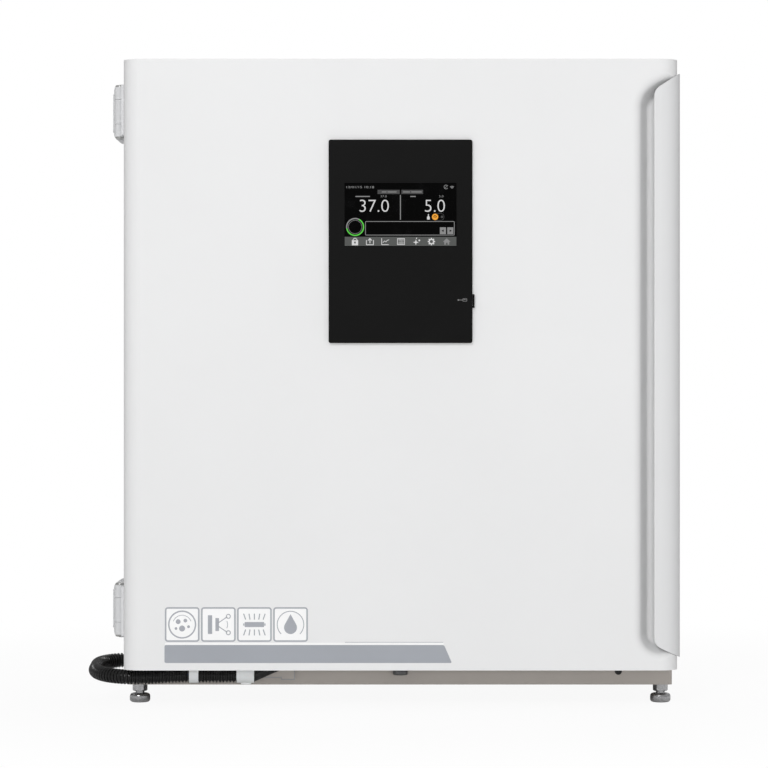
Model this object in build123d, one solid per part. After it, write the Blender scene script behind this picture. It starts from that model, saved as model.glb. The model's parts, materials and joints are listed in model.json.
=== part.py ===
from build123d import *
from math import cos, radians, sin, tan
import os

# Carbon dioxide incubator with one large outer door and an inner glass door.
# X runs to the right, Y to the back and Z up. The origin is on the floor, midway
# between the four levelling feet. All sizes are in millimetres.

# Cabinet
cabinet_width = 770.0
cabinet_depth = 662.0
cabinet_height = 833.5
cabinet_corner = 5.0
sheet = 1.5
plinth_height = 45.0
plinth_wall = 2.0
foot_height = 26.5
rear_space = 54.0
half_width = cabinet_width / 2
front = -cabinet_depth / 2
back = cabinet_depth / 2
bulkhead = back - rear_space
cabinet_bottom = foot_height + plinth_height
cabinet_top = cabinet_bottom + cabinet_height

# Clearances and how far a cutter runs past the face that it cuts
bearing_clearance = 0.05
running_gap = 0.4
seal_clearance = 0.3
past = 1.0

# Chamber, with the foam walls round it
side_wall = 63.5
floor_wall = 58.5
roof_wall = 75.0
back_wall = 60.0
chamber_corner = 25.0
liner_sheet = 1.2
mouth_depth = 25.0
mouth_lip = 8.5
mouth_recess = 30.0
mouth_recess_depth = 17.0
chamber_half = half_width - side_wall
chamber_bottom = cabinet_bottom + floor_wall
chamber_top = cabinet_top - roof_wall
chamber_back = bulkhead - back_wall
mouth = front + mouth_depth
frame_half = chamber_half + mouth_recess + mouth_lip
frame_bottom = chamber_bottom - mouth_recess - mouth_lip
frame_top = chamber_top + mouth_recess + mouth_lip

# Outer door, which hangs a little below the cabinet's body
door_hang = 18.5
door_overhang = 2.5
door_thickness = 62.0
door_gap = 6.0
door_corner = 25.0
door_sheet = 1.5
door_panel_rise = 4.0
door_panel_margin = 95.0
gasket_width = 12.0
gasket_margin = 7.0
door_back = front - door_gap
door_front = door_back - door_thickness
door_top = cabinet_top
door_bottom = cabinet_bottom - door_hang
door_half = half_width + door_overhang

# Grip recess in the outer door and the wing handle over it
scoop_inset = 55.5
scoop_depth = 31.0
scoop_slope = 25.0
scoop_top_margin = 18.0
scoop_bottom_margin = 20.0
scoop_top_radius = 38.0
scoop_top_sweep = 50.0
scoop_crown_radius = 85.0
scoop_bottom_radius = 30.0
scoop_rim_radius = 14.0
scoop_floor_radius = 8.0
wing_inset = 33.8
wing_setback = 2.0
wing_radius = 28.0
wing_sheet = 4.4
wing_foot = 20.0
wing_top_margin = 19.0
wing_bottom_margin = 16.5
wing_end_radius = 16.0
wing_top_rise = 33.5
wing_top_shoulder = 32.4
wing_bottom_rise = 26.0
wing_bottom_shoulder = 28.6
wing_clearance = 0.6
scoop_left = door_half - scoop_inset
scoop_top = door_top - scoop_top_margin
scoop_bottom = door_bottom + scoop_bottom_margin
wing_left = door_half - wing_inset
wing_top = door_top - wing_top_margin
wing_bottom = door_bottom + wing_bottom_margin

# Hinges of the outer door
hinge_offset = 11.0
hinge_rise = 80.0
hinge_drop = 68.5
hinge_height = 70.0
hinge_radius = 8.0
hinge_end_share = 0.25
hinge_pin_radius = 4.0
hinge_pin_head = 3.0
hinge_pin_head_radius = 7.0
leaf_thickness = 4.0
leaf_length = 28.0
hinge_cover_height = 80.0
hinge_cover_width = 20.7
hinge_cover_length = 60.0
hinge_cover_wall = 2.0
hinge_cover_corner = 10.0
hinge_cover_edge = 3.0
hinge_cover_rib = 2.1
hinge_cover_rib_inset = 8.0
hinge_cover_rib_drop = 13.0
hinge_cover_rib_corner = 4.0
hinge_x = -half_width - hinge_offset
hinge_y = (front + door_back) / 2
hinge_levels = (door_bottom + hinge_rise, door_top - hinge_drop)

# Display housing on the outer door, with a covered port on its side
display_width = 200.0
display_height = 283.0
display_proud = 6.0
display_drop = 113.0
display_corner = 3.0
display_edge = 0.8
screen_width = 155.3
screen_height = 88.0
screen_rise = 134.5
screen_depth = 1.2
screen_gap = 0.3
screen_sunk = 0.1
port_rise = 49.0
port_pocket_depth = 14.0
port_pocket_height = 13.0
port_tongue_width = 11.0
port_tongue_thickness = 1.2
port_tongue_setback = 2.4
flap_height = 19.0
flap_thickness = 3.0
flap_gap = 0.3
flap_corner = 1.0
flap_lug = 0.7
flap_lug_margin = 0.8
flap_lug_margin_rear = 0.5
flap_pin_radius = 0.8
flap_foot = 2.4
display_half = display_width / 2
display_front = door_front - display_proud
display_top = door_top - display_drop
display_bottom = display_top - display_height
screen_bottom = display_bottom + screen_rise
port_bottom = display_bottom + port_rise
flap_axis_x = display_half + flap_thickness / 2
flap_axis_z = port_bottom + flap_thickness / 2

# Levelling feet
foot_inset_x = 15.0
foot_inset_y = 20.0
foot_pad_radius = 14.5
foot_pad_height = 13.0
foot_pad_shoulder = 4.6
foot_stud_radius = 6.0
foot_stud_length = 52.0
foot_nut_flats = 19.0
foot_nut_height = 10.5
foot_nut_chamfer = 1.2
foot_nut_crown_share = 1.11
foot_boss_radius = 11.0
foot_boss_height = 20.0
foot_spacing_x = cabinet_width - 2 * foot_inset_x
foot_spacing_y = cabinet_depth - 2 * foot_inset_y
plinth_rim = 2 * (foot_inset_x + foot_boss_radius)

# Door conduit, from the cabinet's side round a loop and along the door's underside
conduit_radius = 10.6
conduit_drop = 14.4
conduit_rear_rise = 24.0
conduit_rear_setback = 116.0
conduit_door_inset = 8.0
conduit_loop_out = 50.0
conduit_front_bend = 62.0
conduit_rear_bend = 42.0
conduit_lead = 2.0
conduit_flex_end_inset = 65.0
conduit_end_inset = 179.3
sleeve_end_inset = 219.0
sleeve_rise = 8.0
sleeve_end_share = 0.75
clip_near_hinge = (87.4, 100.6)
clip_near_sleeve = (154.4, 179.1)
clip_wall = 1.2
clip_tab = 12.0
gland_flange = 5.0
gland_flange_thickness = 2.0
gland_nut = 3.5
gland_nut_height = 5.0
conduit_z = door_bottom - conduit_drop
conduit_rear_z = foot_height + conduit_rear_rise
conduit_y = door_back - conduit_door_inset
conduit_rear_y = front + conduit_rear_setback
conduit_loop_x = -half_width - conduit_loop_out
conduit_flex_end = -half_width + conduit_flex_end_inset
conduit_end = -half_width + conduit_end_inset
sleeve_end = -half_width + sleeve_end_inset

# Inner glass door with its hinges
pane_thickness = 5.0
pane_margin = 14.0
pane_gasket = 10.0
pane_gasket_offset = 2.0
pane_gasket_height = 5.7
pane_corner = 12.0
glass_hinge_from_end = 130.0
glass_hinge_out = 7.0
glass_hinge_setback = 1.5
glass_hinge_radius = 3.5
glass_hinge_height = 40.0
glass_pin_radius = 1.5
bracket_sheet = 2.0
bracket_reach = 8.0
bracket_web_front = 1.0
bracket_web_back = 2.0
clamp_sheet = 2.5
clamp_inset = 2.0
clamp_length = 24.0
clamp_overlap = 8.0
clamp_corner = 3.0
pane_seat = front + mouth_recess_depth
pane_back = pane_seat - pane_gasket_height - seal_clearance
pane_front = pane_back - pane_thickness
pane_half = chamber_half + pane_margin
glass_hinge_levels = (chamber_bottom + glass_hinge_from_end, chamber_top - glass_hinge_from_end)

# Turn latch on the pane, and its catch in the mouth frame's recess
latch_inset = 21.0
latch_spindle_radius = 5.0
latch_spindle_gap = 0.3
latch_nut = 2.5
latch_lever = 26.5
latch_lever_width = 10.0
latch_lever_thickness = 3.2
latch_lever_corner = 4.0
latch_knob_radius = 9.0
latch_knob_height = 7.0
latch_grip_height = 9.0
latch_grip_width = 5.0
latch_grip_length = 16.0
latch_grip_corner = 1.2
catch_sheet = 2.2
catch_height = 24.0
catch_base = 2.0
catch_reach = 14.0
catch_corner = 3.0
latch_x = pane_half - latch_inset
latch_level = (chamber_bottom + chamber_top) / 2

# Air duct with fan, on the chamber's back wall
duct_width = 230.0
duct_floor_gap = 45.0
duct_roof_gap = 30.0
duct_depth = 32.0
duct_sheet = 1.0
duct_corner = 8.0
duct_inlets = 12
duct_inlet_width = 8.0
duct_inlet_start = 16.0
duct_inlet_share = 0.8
duct_outlets = 7
duct_outlet_width = 12.0
duct_outlet_pitch = 28.0
duct_outlet_height = 60.0
duct_outlet_rise = 15.0
fan_drop = 160.0
fan_radius = 56.0
fan_depth = 16.0
fan_setback = 5.0
fan_plate = 1.5
fan_blades = 12
fan_blade_inner = 26.0
fan_blade_margin = 2.0
fan_blade_thickness = 1.6
fan_blade_offset = 14.0
fan_blade_angle = 22.0
fan_hub_radius = 12.0
fan_hub_setback = 4.0
fan_shaft_radius = 4.0
fan_shaft_setback = 2.0
fan_shaft_end = 6.0
motor_radius = 36.0
motor_length = 40.0
motor_edge = 6.0
motor_bore_depth = 8.0
motor_ear = 10.0
motor_ear_thickness = 3.0
motor_ear_height = 24.0
duct_bottom = chamber_bottom + duct_floor_gap
duct_top = chamber_top - duct_roof_gap
duct_front = chamber_back - duct_depth
fan_level = duct_top - fan_drop
shaft_bore = fan_shaft_radius + bearing_clearance

# Lamp and sensors inside the chamber
lamp_rise = 245.0
lamp_length = 170.0
lamp_radius = 8.0
lamp_holder_length = 16.0
lamp_holder_height = 24.0
lamp_holder_front = 10.0
lamp_holder_bore = 9.0
lamp_holder_corner = 3.0
sensor_drop = 60.0
sensor_inset = 86.5
gas_sensor_radius = 14.0
gas_sensor_length = 52.0
gas_sensor_edge = 4.0
gas_sensor_flange = 7.0
gas_sensor_flange_thickness = 3.0
gas_sensor_grooves = 3
gas_sensor_groove = 4.0
gas_sensor_groove_depth = 2.0
gas_sensor_groove_pitch = 9.0
gas_sensor_groove_start = 10.0
probe_radius = 3.0
probe_length = 95.0
probe_tip = 2.0
probe_nut = 8.0
probe_nut_height = 10.0
lamp_level = duct_bottom + lamp_rise
lamp_y = chamber_back - duct_depth / 2
gas_sensor_at = (chamber_half - sensor_inset, chamber_top - sensor_drop)
probe_at = (-chamber_half + sensor_inset, chamber_top - sensor_drop)

# Shelves on their rails
shelf_count = 4
shelf_start = 120.0
shelf_end = 130.0
tray_count = 3
tray_front_gap = 16.0
tray_rear_gap = 15.0
tray_rim = 12.0
tray_sheet = 1.2
tray_columns = 7
tray_rows = 5
tray_slot_width = 60.0
tray_slot_depth = 22.0
tray_slot_margin = 20.0
rail_sheet = 3.0
rail_wall = 1.5
rail_ledge = 14.0
rail_lip = 12.0
rail_post = 12.0
rail_post_inset = 60.0
rail_end_gap = 5.0
shelf_clearance = 1.0
shelf_pitch = (chamber_top - chamber_bottom - shelf_start - shelf_end) / (shelf_count - 1)
shelf_levels = [chamber_bottom + shelf_start + shelf_pitch * i for i in range(shelf_count)]
tray_half = chamber_half - rail_sheet - rail_wall - shelf_clearance
tray_front = mouth + tray_front_gap
tray_back = duct_front - tray_rear_gap

# Humidity pan on the chamber's floor
pan_side_gap = 41.5
pan_end_gap = 45.5
pan_height = 45.0
pan_sheet = 1.0
pan_corner = 20.0
pan_cover_share = 0.667
pan_cover_lip = 12.0
pan_cover_lip_inset = 3.0
pan_half = chamber_half - pan_side_gap
pan_front = mouth + pan_end_gap
pan_back = duct_front - pan_end_gap
pan_top = chamber_bottom + pan_height

# Access port through the back, with a plug in each end
port_inset = 91.5
port_drop = 230.0
port_radius = 15.0
port_wall = 2.5
port_flange = 25.0
port_flange_thickness = 3.0
plug_length = 22.0
plug_clearance = 0.08
plug_head = 4.0
plug_edge = 1.5
port_at = (chamber_half - port_inset, chamber_top - port_drop)
port_bore = port_radius + port_wall

# Rear cover and what is set in it
cover_sheet = 1.2
cover_margin = 4.0
cover_sill = 3.0
louvre_width = 120.0
louvre_height = 5.0
louvre_pitch = 16.0
louvre_count = 6
louvre_rise = 200.0
louvre_out = 200.0
louvre_hood = 4.0
louvre_slot_drop = 1.2
service_rise = 78.5
inlet_inset = 85.0
inlet_width = 60.0
inlet_height = 50.0
inlet_proud = 2.0
inlet_corner = 2.0
inlet_body_depth = 26.0
socket_offset = 10.0
socket_width = 28.0
socket_height = 20.0
socket_depth = 17.0
socket_chamfer = 5.0
contact_pitch = 7.0
contact_rise = 3.0
contact_width = 2.0
contact_height = 4.0
contact_tip = 6.0
switch_offset = 17.0
switch_width = 14.0
switch_height = 24.0
switch_pocket = 12.0
switch_gap = 0.4
switch_depth = 6.0
switch_proud = 2.0
switch_margin = 1.0
switch_pivot_radius = 3.0
switch_crown_radius = 23.5
switch_crown_floor = 0.5
switch_tilt = 8.0
barb_insets = (195.0, 235.0)
barb_radius = 4.0
barb_length = 22.0
barb_base = 8.0
barb_base_height = 5.0
barb_neck = 2.9
barb_neck_depth = 8.0
barb_bead = 0.6
barb_bead_start = 7.0
barb_bead_width = 1.5
barb_wall = 1.5
terminal_inset = 305.0
terminal_ways = 4
terminal_pitch = 9.0
terminal_depth = 12.0
terminal_height = 18.0
terminal_end = 2.0
terminal_edge = 1.5
terminal_screw_radius = 2.6
terminal_screw_rise = 3.0
terminal_screw_depth = 4.0
terminal_wire_width = 5.0
strap_hole_inset = 85.0
strap_hole_drop = 35.0
strap_hole_radius = 2.7
stack_inset_x = 40.0
stack_inset_y = 41.0
stack_hole_radius = 4.2
stack_hole_depth = 20.0
cover_back = back + cover_sheet
service_level = cabinet_bottom + service_rise
inlet_x = -half_width + inlet_inset
inlet_face = cover_back + inlet_proud
terminal_x = -half_width + terminal_inset

# Control board and gas valve in the rear space
board_inset = 85.0
board_drop = 165.0
board_width = 180.0
board_height = 260.0
board_thickness = 1.6
board_spacer = 12.0
board_spacer_radius = 4.0
board_spacer_inset = 10.0
board_part_xs = (30.0, 100.0, 40.0, 110.0, 50.0)
board_part_zs = (210.0, 210.0, 120.0, 110.0, 40.0)
board_part_widths = (50.0, 45.0, 36.0, 60.0, 70.0)
board_part_heights = (30.0, 40.0, 36.0, 16.0, 18.0)
board_part_depths = (22.0, 15.0, 6.0, 12.0, 14.0)
valve_rise = 60.0
valve_width = 28.0
valve_depth = 30.0
valve_height = 24.0
valve_coil_radius = 11.0
valve_coil_height = 34.0
valve_port_radius = 5.0
valve_port_length = 44.0

# Door lock under the door, and a plugged hole in the plinth
lock_setback = 49.0
lock_radius = 10.5
lock_height = 13.0
lock_chamfer = 3.0
lock_collar = 1.5
lock_arm_width = 16.0
lock_arm_rise = 4.0
lock_foot_width = 28.0
lock_foot_sheet = 2.0
bolt_radius = 4.0
bolt_length = 16.0
bolt_tip = 1.0
bolt_clearance = 0.08
bolt_travel = 7.0
lock_gap = 1.0
strike_width = 73.0
strike_depth = 22.0
strike_sheet = 1.5
strike_corner = 4.0
strike_clearance = 2.5
plug_hole_inset = 76.4
plug_hole_rise = 19.0
plug_hole_radius = 5.0
lock_y = door_front + lock_setback
strike_bottom = door_bottom - strike_sheet
strike_hole = bolt_radius + strike_clearance


def block(x0, x1, y0, y1, z0, z1):
    """A box between its low and high corners."""
    middle = Pos((x0 + x1) / 2, (y0 + y1) / 2, (z0 + z1) / 2)
    return middle * Box(x1 - x0, y1 - y0, z1 - z0)


def rod_x(x0, x1, y, z, radius):
    """A round rod along X."""
    return Pos((x0 + x1) / 2, y, z) * Rot(0, 90, 0) * Cylinder(radius, x1 - x0)


def rod_y(x, y0, y1, z, radius):
    """A round rod along Y."""
    return Pos(x, (y0 + y1) / 2, z) * Rot(90, 0, 0) * Cylinder(radius, y1 - y0)


def rod_z(x, y, z0, z1, radius):
    """A round rod along Z."""
    return Pos(x, y, (z0 + z1) / 2) * Cylinder(radius, z1 - z0)


def hexagon_y(x, y, z, radius, height, towards=-1):
    """A hexagonal boss that stands on a face at y, towards the front or the back."""
    plane = Plane(origin=(x, y, z), x_dir=(1, 0, 0), z_dir=(0, towards, 0))
    return extrude(plane * RegularPolygon(radius, 6), height)


def ring_plate(half_x, z0, z1, width, y0, y1):
    """A flat rectangular ring that faces front, with its outer edges given."""
    hole = block(
        -half_x + width, half_x - width, y0 - past, y1 + past, z0 + width, z1 - width
    )
    return block(-half_x, half_x, y0, y1, z0, z1) - hole


def corner_places(x, y):
    """Four places that mirror each other about the middle, front ones first."""
    return [(side * x, end * y) for end in (-1, 1) for side in (-1, 1)]


def foot_places():
    """The four places where a levelling foot stands."""
    return corner_places(foot_spacing_x / 2, foot_spacing_y / 2)


def stack_places():
    """Screw holes in the top, for a second cabinet's stacking brackets."""
    return corner_places(half_width - stack_inset_x, back - stack_inset_y)


def cabinet_blank(low, high):
    """The painted body's outline with rounded upright corners."""
    blank = block(-half_width, half_width, front, back, low, high)
    return fillet(blank.edges().filter_by(Axis.Z), cabinet_corner)


def make_cabinet_shell():
    """Outer sheet body with front flange, bulkhead and an open back."""
    inside = half_width - sheet
    low = cabinet_bottom + sheet
    high = cabinet_top - sheet
    shell = cabinet_blank(cabinet_bottom, cabinet_top)
    shell -= block(-inside, inside, front + sheet, bulkhead, low, high)
    shell -= block(-inside, inside, bulkhead + sheet, back + past, low, high)
    shell -= block(
        -frame_half, frame_half, front - past, front + sheet + past, frame_bottom, frame_top
    )
    shell -= rod_y(port_at[0], bulkhead - past, bulkhead + sheet + past, port_at[1], port_bore)
    shell -= rod_y(0, bulkhead - past, bulkhead + sheet + past, fan_level, shaft_bore)
    for x, y in stack_places():
        shell -= rod_z(x, y, cabinet_top - 2 * sheet, cabinet_top + past, stack_hole_radius)
    return shell


def liner_form(grow):
    """The chamber's form with coved edges, made larger by a wall."""
    form = block(
        -chamber_half - grow,
        chamber_half + grow,
        mouth,
        chamber_back + grow,
        chamber_bottom - grow,
        chamber_top + grow,
    )
    coved = form.edges() - form.faces().sort_by(Axis.Y)[0].edges()
    return fillet(coved, chamber_corner + grow)


def make_chamber_liner():
    """Stainless chamber with coved corners, open to the front."""
    liner = liner_form(liner_sheet) - liner_form(0)
    liner -= rod_y(port_at[0], chamber_back - past, bulkhead, port_at[1], port_bore)
    return liner - rod_y(0, chamber_back - past, bulkhead, fan_level, shaft_bore)


def make_cabinet_insulation():
    """Foam between the chamber and the painted body."""
    inside = half_width - sheet
    foam = block(
        -inside, inside, front + sheet, bulkhead, cabinet_bottom + sheet, cabinet_top - sheet
    )
    foam -= block(-frame_half, frame_half, front, mouth, frame_bottom, frame_top)
    foam -= liner_form(liner_sheet)
    foam -= rod_y(port_at[0], mouth, back, port_at[1], port_bore)
    foam -= rod_y(0, mouth, back, fan_level, shaft_bore)
    for x, y in stack_places():
        foam -= rod_z(x, y, cabinet_top - stack_hole_depth, cabinet_top, stack_hole_radius)
    return foam


def make_mouth_frame():
    """Plastic thermal break round the chamber mouth, stepped for the glass door."""
    width = mouth_recess + mouth_lip
    frame = ring_plate(frame_half, frame_bottom, frame_top, width, front, mouth)
    recess = block(
        -frame_half + mouth_lip,
        frame_half - mouth_lip,
        front - past,
        pane_seat,
        frame_bottom + mouth_lip,
        frame_top - mouth_lip,
    )
    return frame - fillet(recess.edges().filter_by(Axis.Y), pane_corner)


def make_chamber_gasket():
    """Soft seal on the mouth frame's step, behind the glass pane."""
    reach = pane_gasket_offset + pane_gasket
    return ring_plate(
        chamber_half + reach,
        chamber_bottom - reach,
        chamber_top + reach,
        pane_gasket,
        pane_seat - pane_gasket_height,
        pane_seat,
    )


def make_base_plinth():
    """Folded steel base with a boss for each foot and openings for lock and conduit."""
    top = cabinet_bottom
    plinth = cabinet_blank(foot_height, top)
    inner_x = half_width - plinth_wall
    inner_y = back - plinth_wall
    plinth -= block(-inner_x, inner_x, -inner_y, inner_y, foot_height + plinth_wall, top + past)
    plinth -= block(
        -half_width + plinth_rim,
        half_width - plinth_rim,
        front + plinth_rim,
        back - plinth_rim,
        foot_height - past,
        top,
    )
    for x, y in foot_places():
        plinth += rod_z(x, y, foot_height, foot_height + foot_boss_height, foot_boss_radius)
        plinth -= rod_z(x, y, foot_height - past, top, foot_stud_radius + bearing_clearance)
    plinth -= rod_y(
        half_width - plug_hole_inset,
        front - past,
        front + plinth_wall + past,
        foot_height + plug_hole_rise,
        plug_hole_radius,
    )
    return plinth - rod_x(
        -half_width - past, past - inner_x, conduit_rear_y, conduit_rear_z, conduit_radius + clip_wall
    )


def make_foot(x, y):
    """One levelling foot: a round pad on a threaded stud."""
    pad = rod_z(0, 0, 0, foot_pad_height, foot_pad_radius)
    pad = fillet(pad.edges().filter_by(GeomType.CIRCLE).sort_by(Axis.Z)[-1], foot_pad_shoulder)
    stud = rod_z(0, 0, foot_pad_height - past, foot_stud_length, foot_stud_radius)
    return Pos(x, y, 0) * (pad + stud)


def make_foot_lock_nuts():
    """Four hexagonal lock nuts that clamp the feet against the plinth."""
    hexagon = RegularPolygon(foot_nut_flats / 2, 6, major_radius=False)
    crown_radius = foot_nut_flats / 2 * foot_nut_crown_share
    crown = Pos(0, 0, foot_nut_height / 2) * Cylinder(crown_radius, foot_nut_height)
    crown = chamfer(crown.edges().filter_by(GeomType.CIRCLE), foot_nut_chamfer)
    nut = extrude(hexagon, foot_nut_height) & crown
    nut -= Cylinder(foot_stud_radius + bearing_clearance, 4 * foot_nut_height)
    low = foot_height - foot_nut_height
    return Compound([Pos(x, y, low) * nut for x, y in foot_places()])


def scoop_outline(grow):
    """The recess seen from the front: a tight corner at its top runs into a flat crown."""
    left, top, low = scoop_left - grow, scoop_top + grow, scoop_bottom - grow
    corner, crown = scoop_top_radius + grow, scoop_crown_radius + grow
    low_radius = scoop_bottom_radius + grow
    right = door_half + 2 * scoop_depth
    along, across = cos(radians(scoop_top_sweep)), sin(radians(scoop_top_sweep))
    crown_x = left + corner + (crown - corner) * along
    corner_z = top - crown + (crown - corner) * across
    joint = (left + corner * (1 - along), corner_z + corner * across)
    outline = Polyline((left + low_radius, low), (right, low), (right, top), (crown_x, top))
    outline += RadiusArc((crown_x, top), joint, -crown)
    outline += RadiusArc(joint, (left, corner_z), -corner)
    outline += Line((left, corner_z), (left, low + low_radius))
    return outline + RadiusArc((left, low + low_radius), (left + low_radius, low), -low_radius)


def wing_outline(grow):
    """The wing seen from the front: its free edge turns into slanting shoulders."""
    left = wing_left - grow
    radius = wing_end_radius + grow
    right = door_half + wing_radius
    top_rise, low_rise = radians(wing_top_rise), radians(wing_bottom_rise)
    top_start = wing_top - wing_top_shoulder
    low_start = wing_bottom + wing_bottom_shoulder
    top_end = (left + radius * (1 - sin(top_rise)), top_start + radius * cos(top_rise))
    low_end = (left + radius * (1 - sin(low_rise)), low_start - radius * cos(low_rise))
    top_right = (right, top_end[1] + (right - top_end[0]) * tan(top_rise))
    low_right = (right, low_end[1] - (right - low_end[0]) * tan(low_rise))
    outline = Polyline(low_end, low_right, top_right, top_end)
    outline += RadiusArc(top_end, (left, top_start), -radius)
    outline += Line((left, top_start), (left, low_start))
    return outline + RadiusArc((left, low_start), low_end, -radius)


def wing_bed(grow):
    """The straight pocket that the wing needs in the door, as deep as the recess."""
    plane = Plane(origin=(0, door_front - past, 0), x_dir=(1, 0, 0), z_dir=(0, -1, 0))
    bed = extrude(make_face(plane * wing_outline(wing_clearance + grow)), -scoop_depth - past - grow)
    limits = block(
        0,
        door_half + scoop_depth,
        door_front - scoop_depth,
        door_back,
        wing_bottom - wing_clearance - grow,
        wing_top + wing_clearance + grow,
    )
    return bed & limits


def scoop_tool(grow):
    """The cutter for the grip recess, flared at its rim and rounded at its floor."""
    left = scoop_left - grow
    outline = scoop_outline(grow)
    right = door_half + 2 * scoop_depth
    rim_y = door_front + grow
    plane = Plane(origin=(0, rim_y, 0), x_dir=(1, 0, 0), z_dir=(0, -1, 0))
    cone = extrude(make_face(plane * outline), -scoop_depth, taper=scoop_slope)
    floor_edges = cone.faces().sort_by(Axis.Y)[-1].edges()
    cone = fillet(floor_edges, scoop_floor_radius + grow)
    slab = block(0, right + scoop_depth, rim_y - scoop_depth, rim_y, 0, door_top + scoop_depth)
    tool = slab + cone
    rim = [
        edge
        for edge in tool.edges()
        if abs(edge.bounding_box().min.Y - rim_y) < 1e-4
        and abs(edge.bounding_box().max.Y - rim_y) < 1e-4
        and edge.bounding_box().max.X < right + past
        and edge.bounding_box().min.X > left - past
    ]
    return fillet(rim, scoop_rim_radius - grow)


def door_form(inset):
    """The outer door's body with its grip recess, made smaller by a wall."""
    form = block(
        -door_half + inset,
        door_half - inset,
        door_front + inset,
        door_back,
        door_bottom + inset,
        door_top - inset,
    )
    upright = form.edges().filter_by(Axis.Z).sort_by(Axis.Y)[:2]
    return fillet(upright, door_corner - inset) - scoop_tool(inset) - wing_bed(inset)


def make_door_skin():
    """Painted outer sheet of the door, folded round all four sides."""
    skin = door_form(0) - door_form(door_sheet)
    return skin - rod_z(0, lock_y, door_bottom - past, door_bottom + door_sheet + past, strike_hole)


def raised_panel(inset):
    """The shallow raised form on the door's inner side, made smaller by a wall."""
    margin = door_panel_margin + inset
    panel = block(
        -half_width + margin,
        half_width - margin,
        door_back - door_sheet - inset,
        door_back + door_panel_rise - inset,
        door_bottom + margin,
        door_top - margin,
    )
    panel = fillet(panel.edges().filter_by(Axis.Y), door_corner - inset)
    return chamfer(panel.faces().sort_by(Axis.Y)[-1].edges(), door_panel_rise - past)


def make_door_insulation():
    """Foam core of the outer door, with a pocket for the lock bolt."""
    core = door_form(door_sheet)
    core -= block(
        -door_half, door_half, door_back - door_sheet, door_back + past, 0, door_top + past
    )
    core += raised_panel(door_sheet)
    return core - rod_z(0, lock_y, door_bottom, door_bottom + 3 * bolt_travel, strike_hole)


def make_door_liner():
    """Inner sheet of the outer door with a shallow raised panel."""
    edge = door_half - door_sheet
    liner = block(
        -edge,
        edge,
        door_back - door_sheet,
        door_back,
        door_bottom + door_sheet,
        door_top - door_sheet,
    )
    return liner + raised_panel(0) - raised_panel(door_sheet)


def make_door_gasket():
    """Magnetic seal between the outer door and the cabinet's front flange."""
    return ring_plate(
        half_width - gasket_margin,
        cabinet_bottom + gasket_margin,
        cabinet_top - gasket_margin,
        gasket_width,
        door_back,
        front - seal_clearance,
    )


def make_door_handle():
    """Full-height wing that stands over the grip recess and wraps the door's side."""
    outer_x = door_half + wing_sheet
    nose = door_front + wing_setback
    nose_back = nose + wing_sheet
    bend_y = nose + wing_radius
    foot_y = door_front + scoop_depth + wing_foot
    start = outer_x - wing_radius
    section = RadiusArc((start, nose), (outer_x, bend_y), -wing_radius)
    section += Polyline(
        (outer_x, bend_y), (outer_x, foot_y), (door_half, foot_y), (door_half, bend_y)
    )
    section += RadiusArc((door_half, bend_y), (start, nose_back), wing_radius - wing_sheet)
    section += Polyline((start, nose_back), (wing_left, nose_back), (wing_left, nose), (start, nose))
    plane = Plane(origin=(0, 0, wing_bottom), x_dir=(1, 0, 0), z_dir=(0, 0, 1))
    wing = extrude(make_face(plane * section), wing_top - wing_bottom)
    front_plane = Plane(origin=(0, door_front, 0), x_dir=(1, 0, 0), z_dir=(0, -1, 0))
    return wing & extrude(make_face(front_plane * wing_outline(0)), -door_thickness)


def knuckle_split(level):
    """The heights at which a hinge's three knuckles start and end."""
    low = level - hinge_height / 2
    high = level + hinge_height / 2
    end = hinge_height * hinge_end_share
    return low, low + end, high - end, high


def make_cabinet_hinge_leaves():
    """Leaves on the cabinet's side, each with the two end knuckles."""
    side = -half_width
    start = hinge_y + hinge_radius + 2 * running_gap
    leaves = []
    for level in hinge_levels:
        low, mid_low, mid_high, high = knuckle_split(level)
        leaf = block(side - leaf_thickness, side, start, start + leaf_length, low, high)
        for z0, z1 in ((low, mid_low), (mid_high, high)):
            web = block(side - leaf_thickness, side, front - past, start, z0, z1)
            leaf += rod_z(hinge_x, hinge_y, z0, z1, hinge_radius) + web
        leaf -= block(
            side - past, side + hinge_offset, front - hinge_radius, front, low - past, high + past
        )
        leaf -= rod_z(hinge_x, hinge_y, low - past, high + past, hinge_pin_radius + bearing_clearance)
        leaves.append(leaf)
    return Compound(leaves)


def make_door_hinge_leaves():
    """Leaves on the door's side, each with the middle knuckle."""
    side = -door_half
    end = hinge_y - hinge_radius - 2 * running_gap
    leaves = []
    for level in hinge_levels:
        low, mid_low, mid_high, high = knuckle_split(level)
        low_gap = mid_low + running_gap
        high_gap = mid_high - running_gap
        leaf = block(side - leaf_thickness, side, end - leaf_length, end, low, high)
        leaf += block(side - leaf_thickness, side, end, door_back, low_gap, high_gap)
        leaf += rod_z(hinge_x, hinge_y, low_gap, high_gap, hinge_radius)
        leaf -= rod_z(hinge_x, hinge_y, low - past, high + past, hinge_pin_radius + bearing_clearance)
        leaves.append(leaf)
    return Compound(leaves)


def make_hinge_pins():
    """Hinge pins with a low domed head at each end."""
    pins = []
    for level in hinge_levels:
        low, high = level - hinge_height / 2, level + hinge_height / 2
        pin = rod_z(hinge_x, hinge_y, low, high, hinge_pin_radius)
        for z0, z1 in ((low - hinge_pin_head, low), (high, high + hinge_pin_head)):
            head = rod_z(hinge_x, hinge_y, z0, z1, hinge_pin_head_radius)
            rim = head.edges().filter_by(GeomType.CIRCLE).sort_by(Axis.Z)
            pin += fillet(rim[-1] if z0 == high else rim[0], hinge_pin_head * 2 / 3)
        pins.append(pin)
    return Compound(pins)


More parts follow.
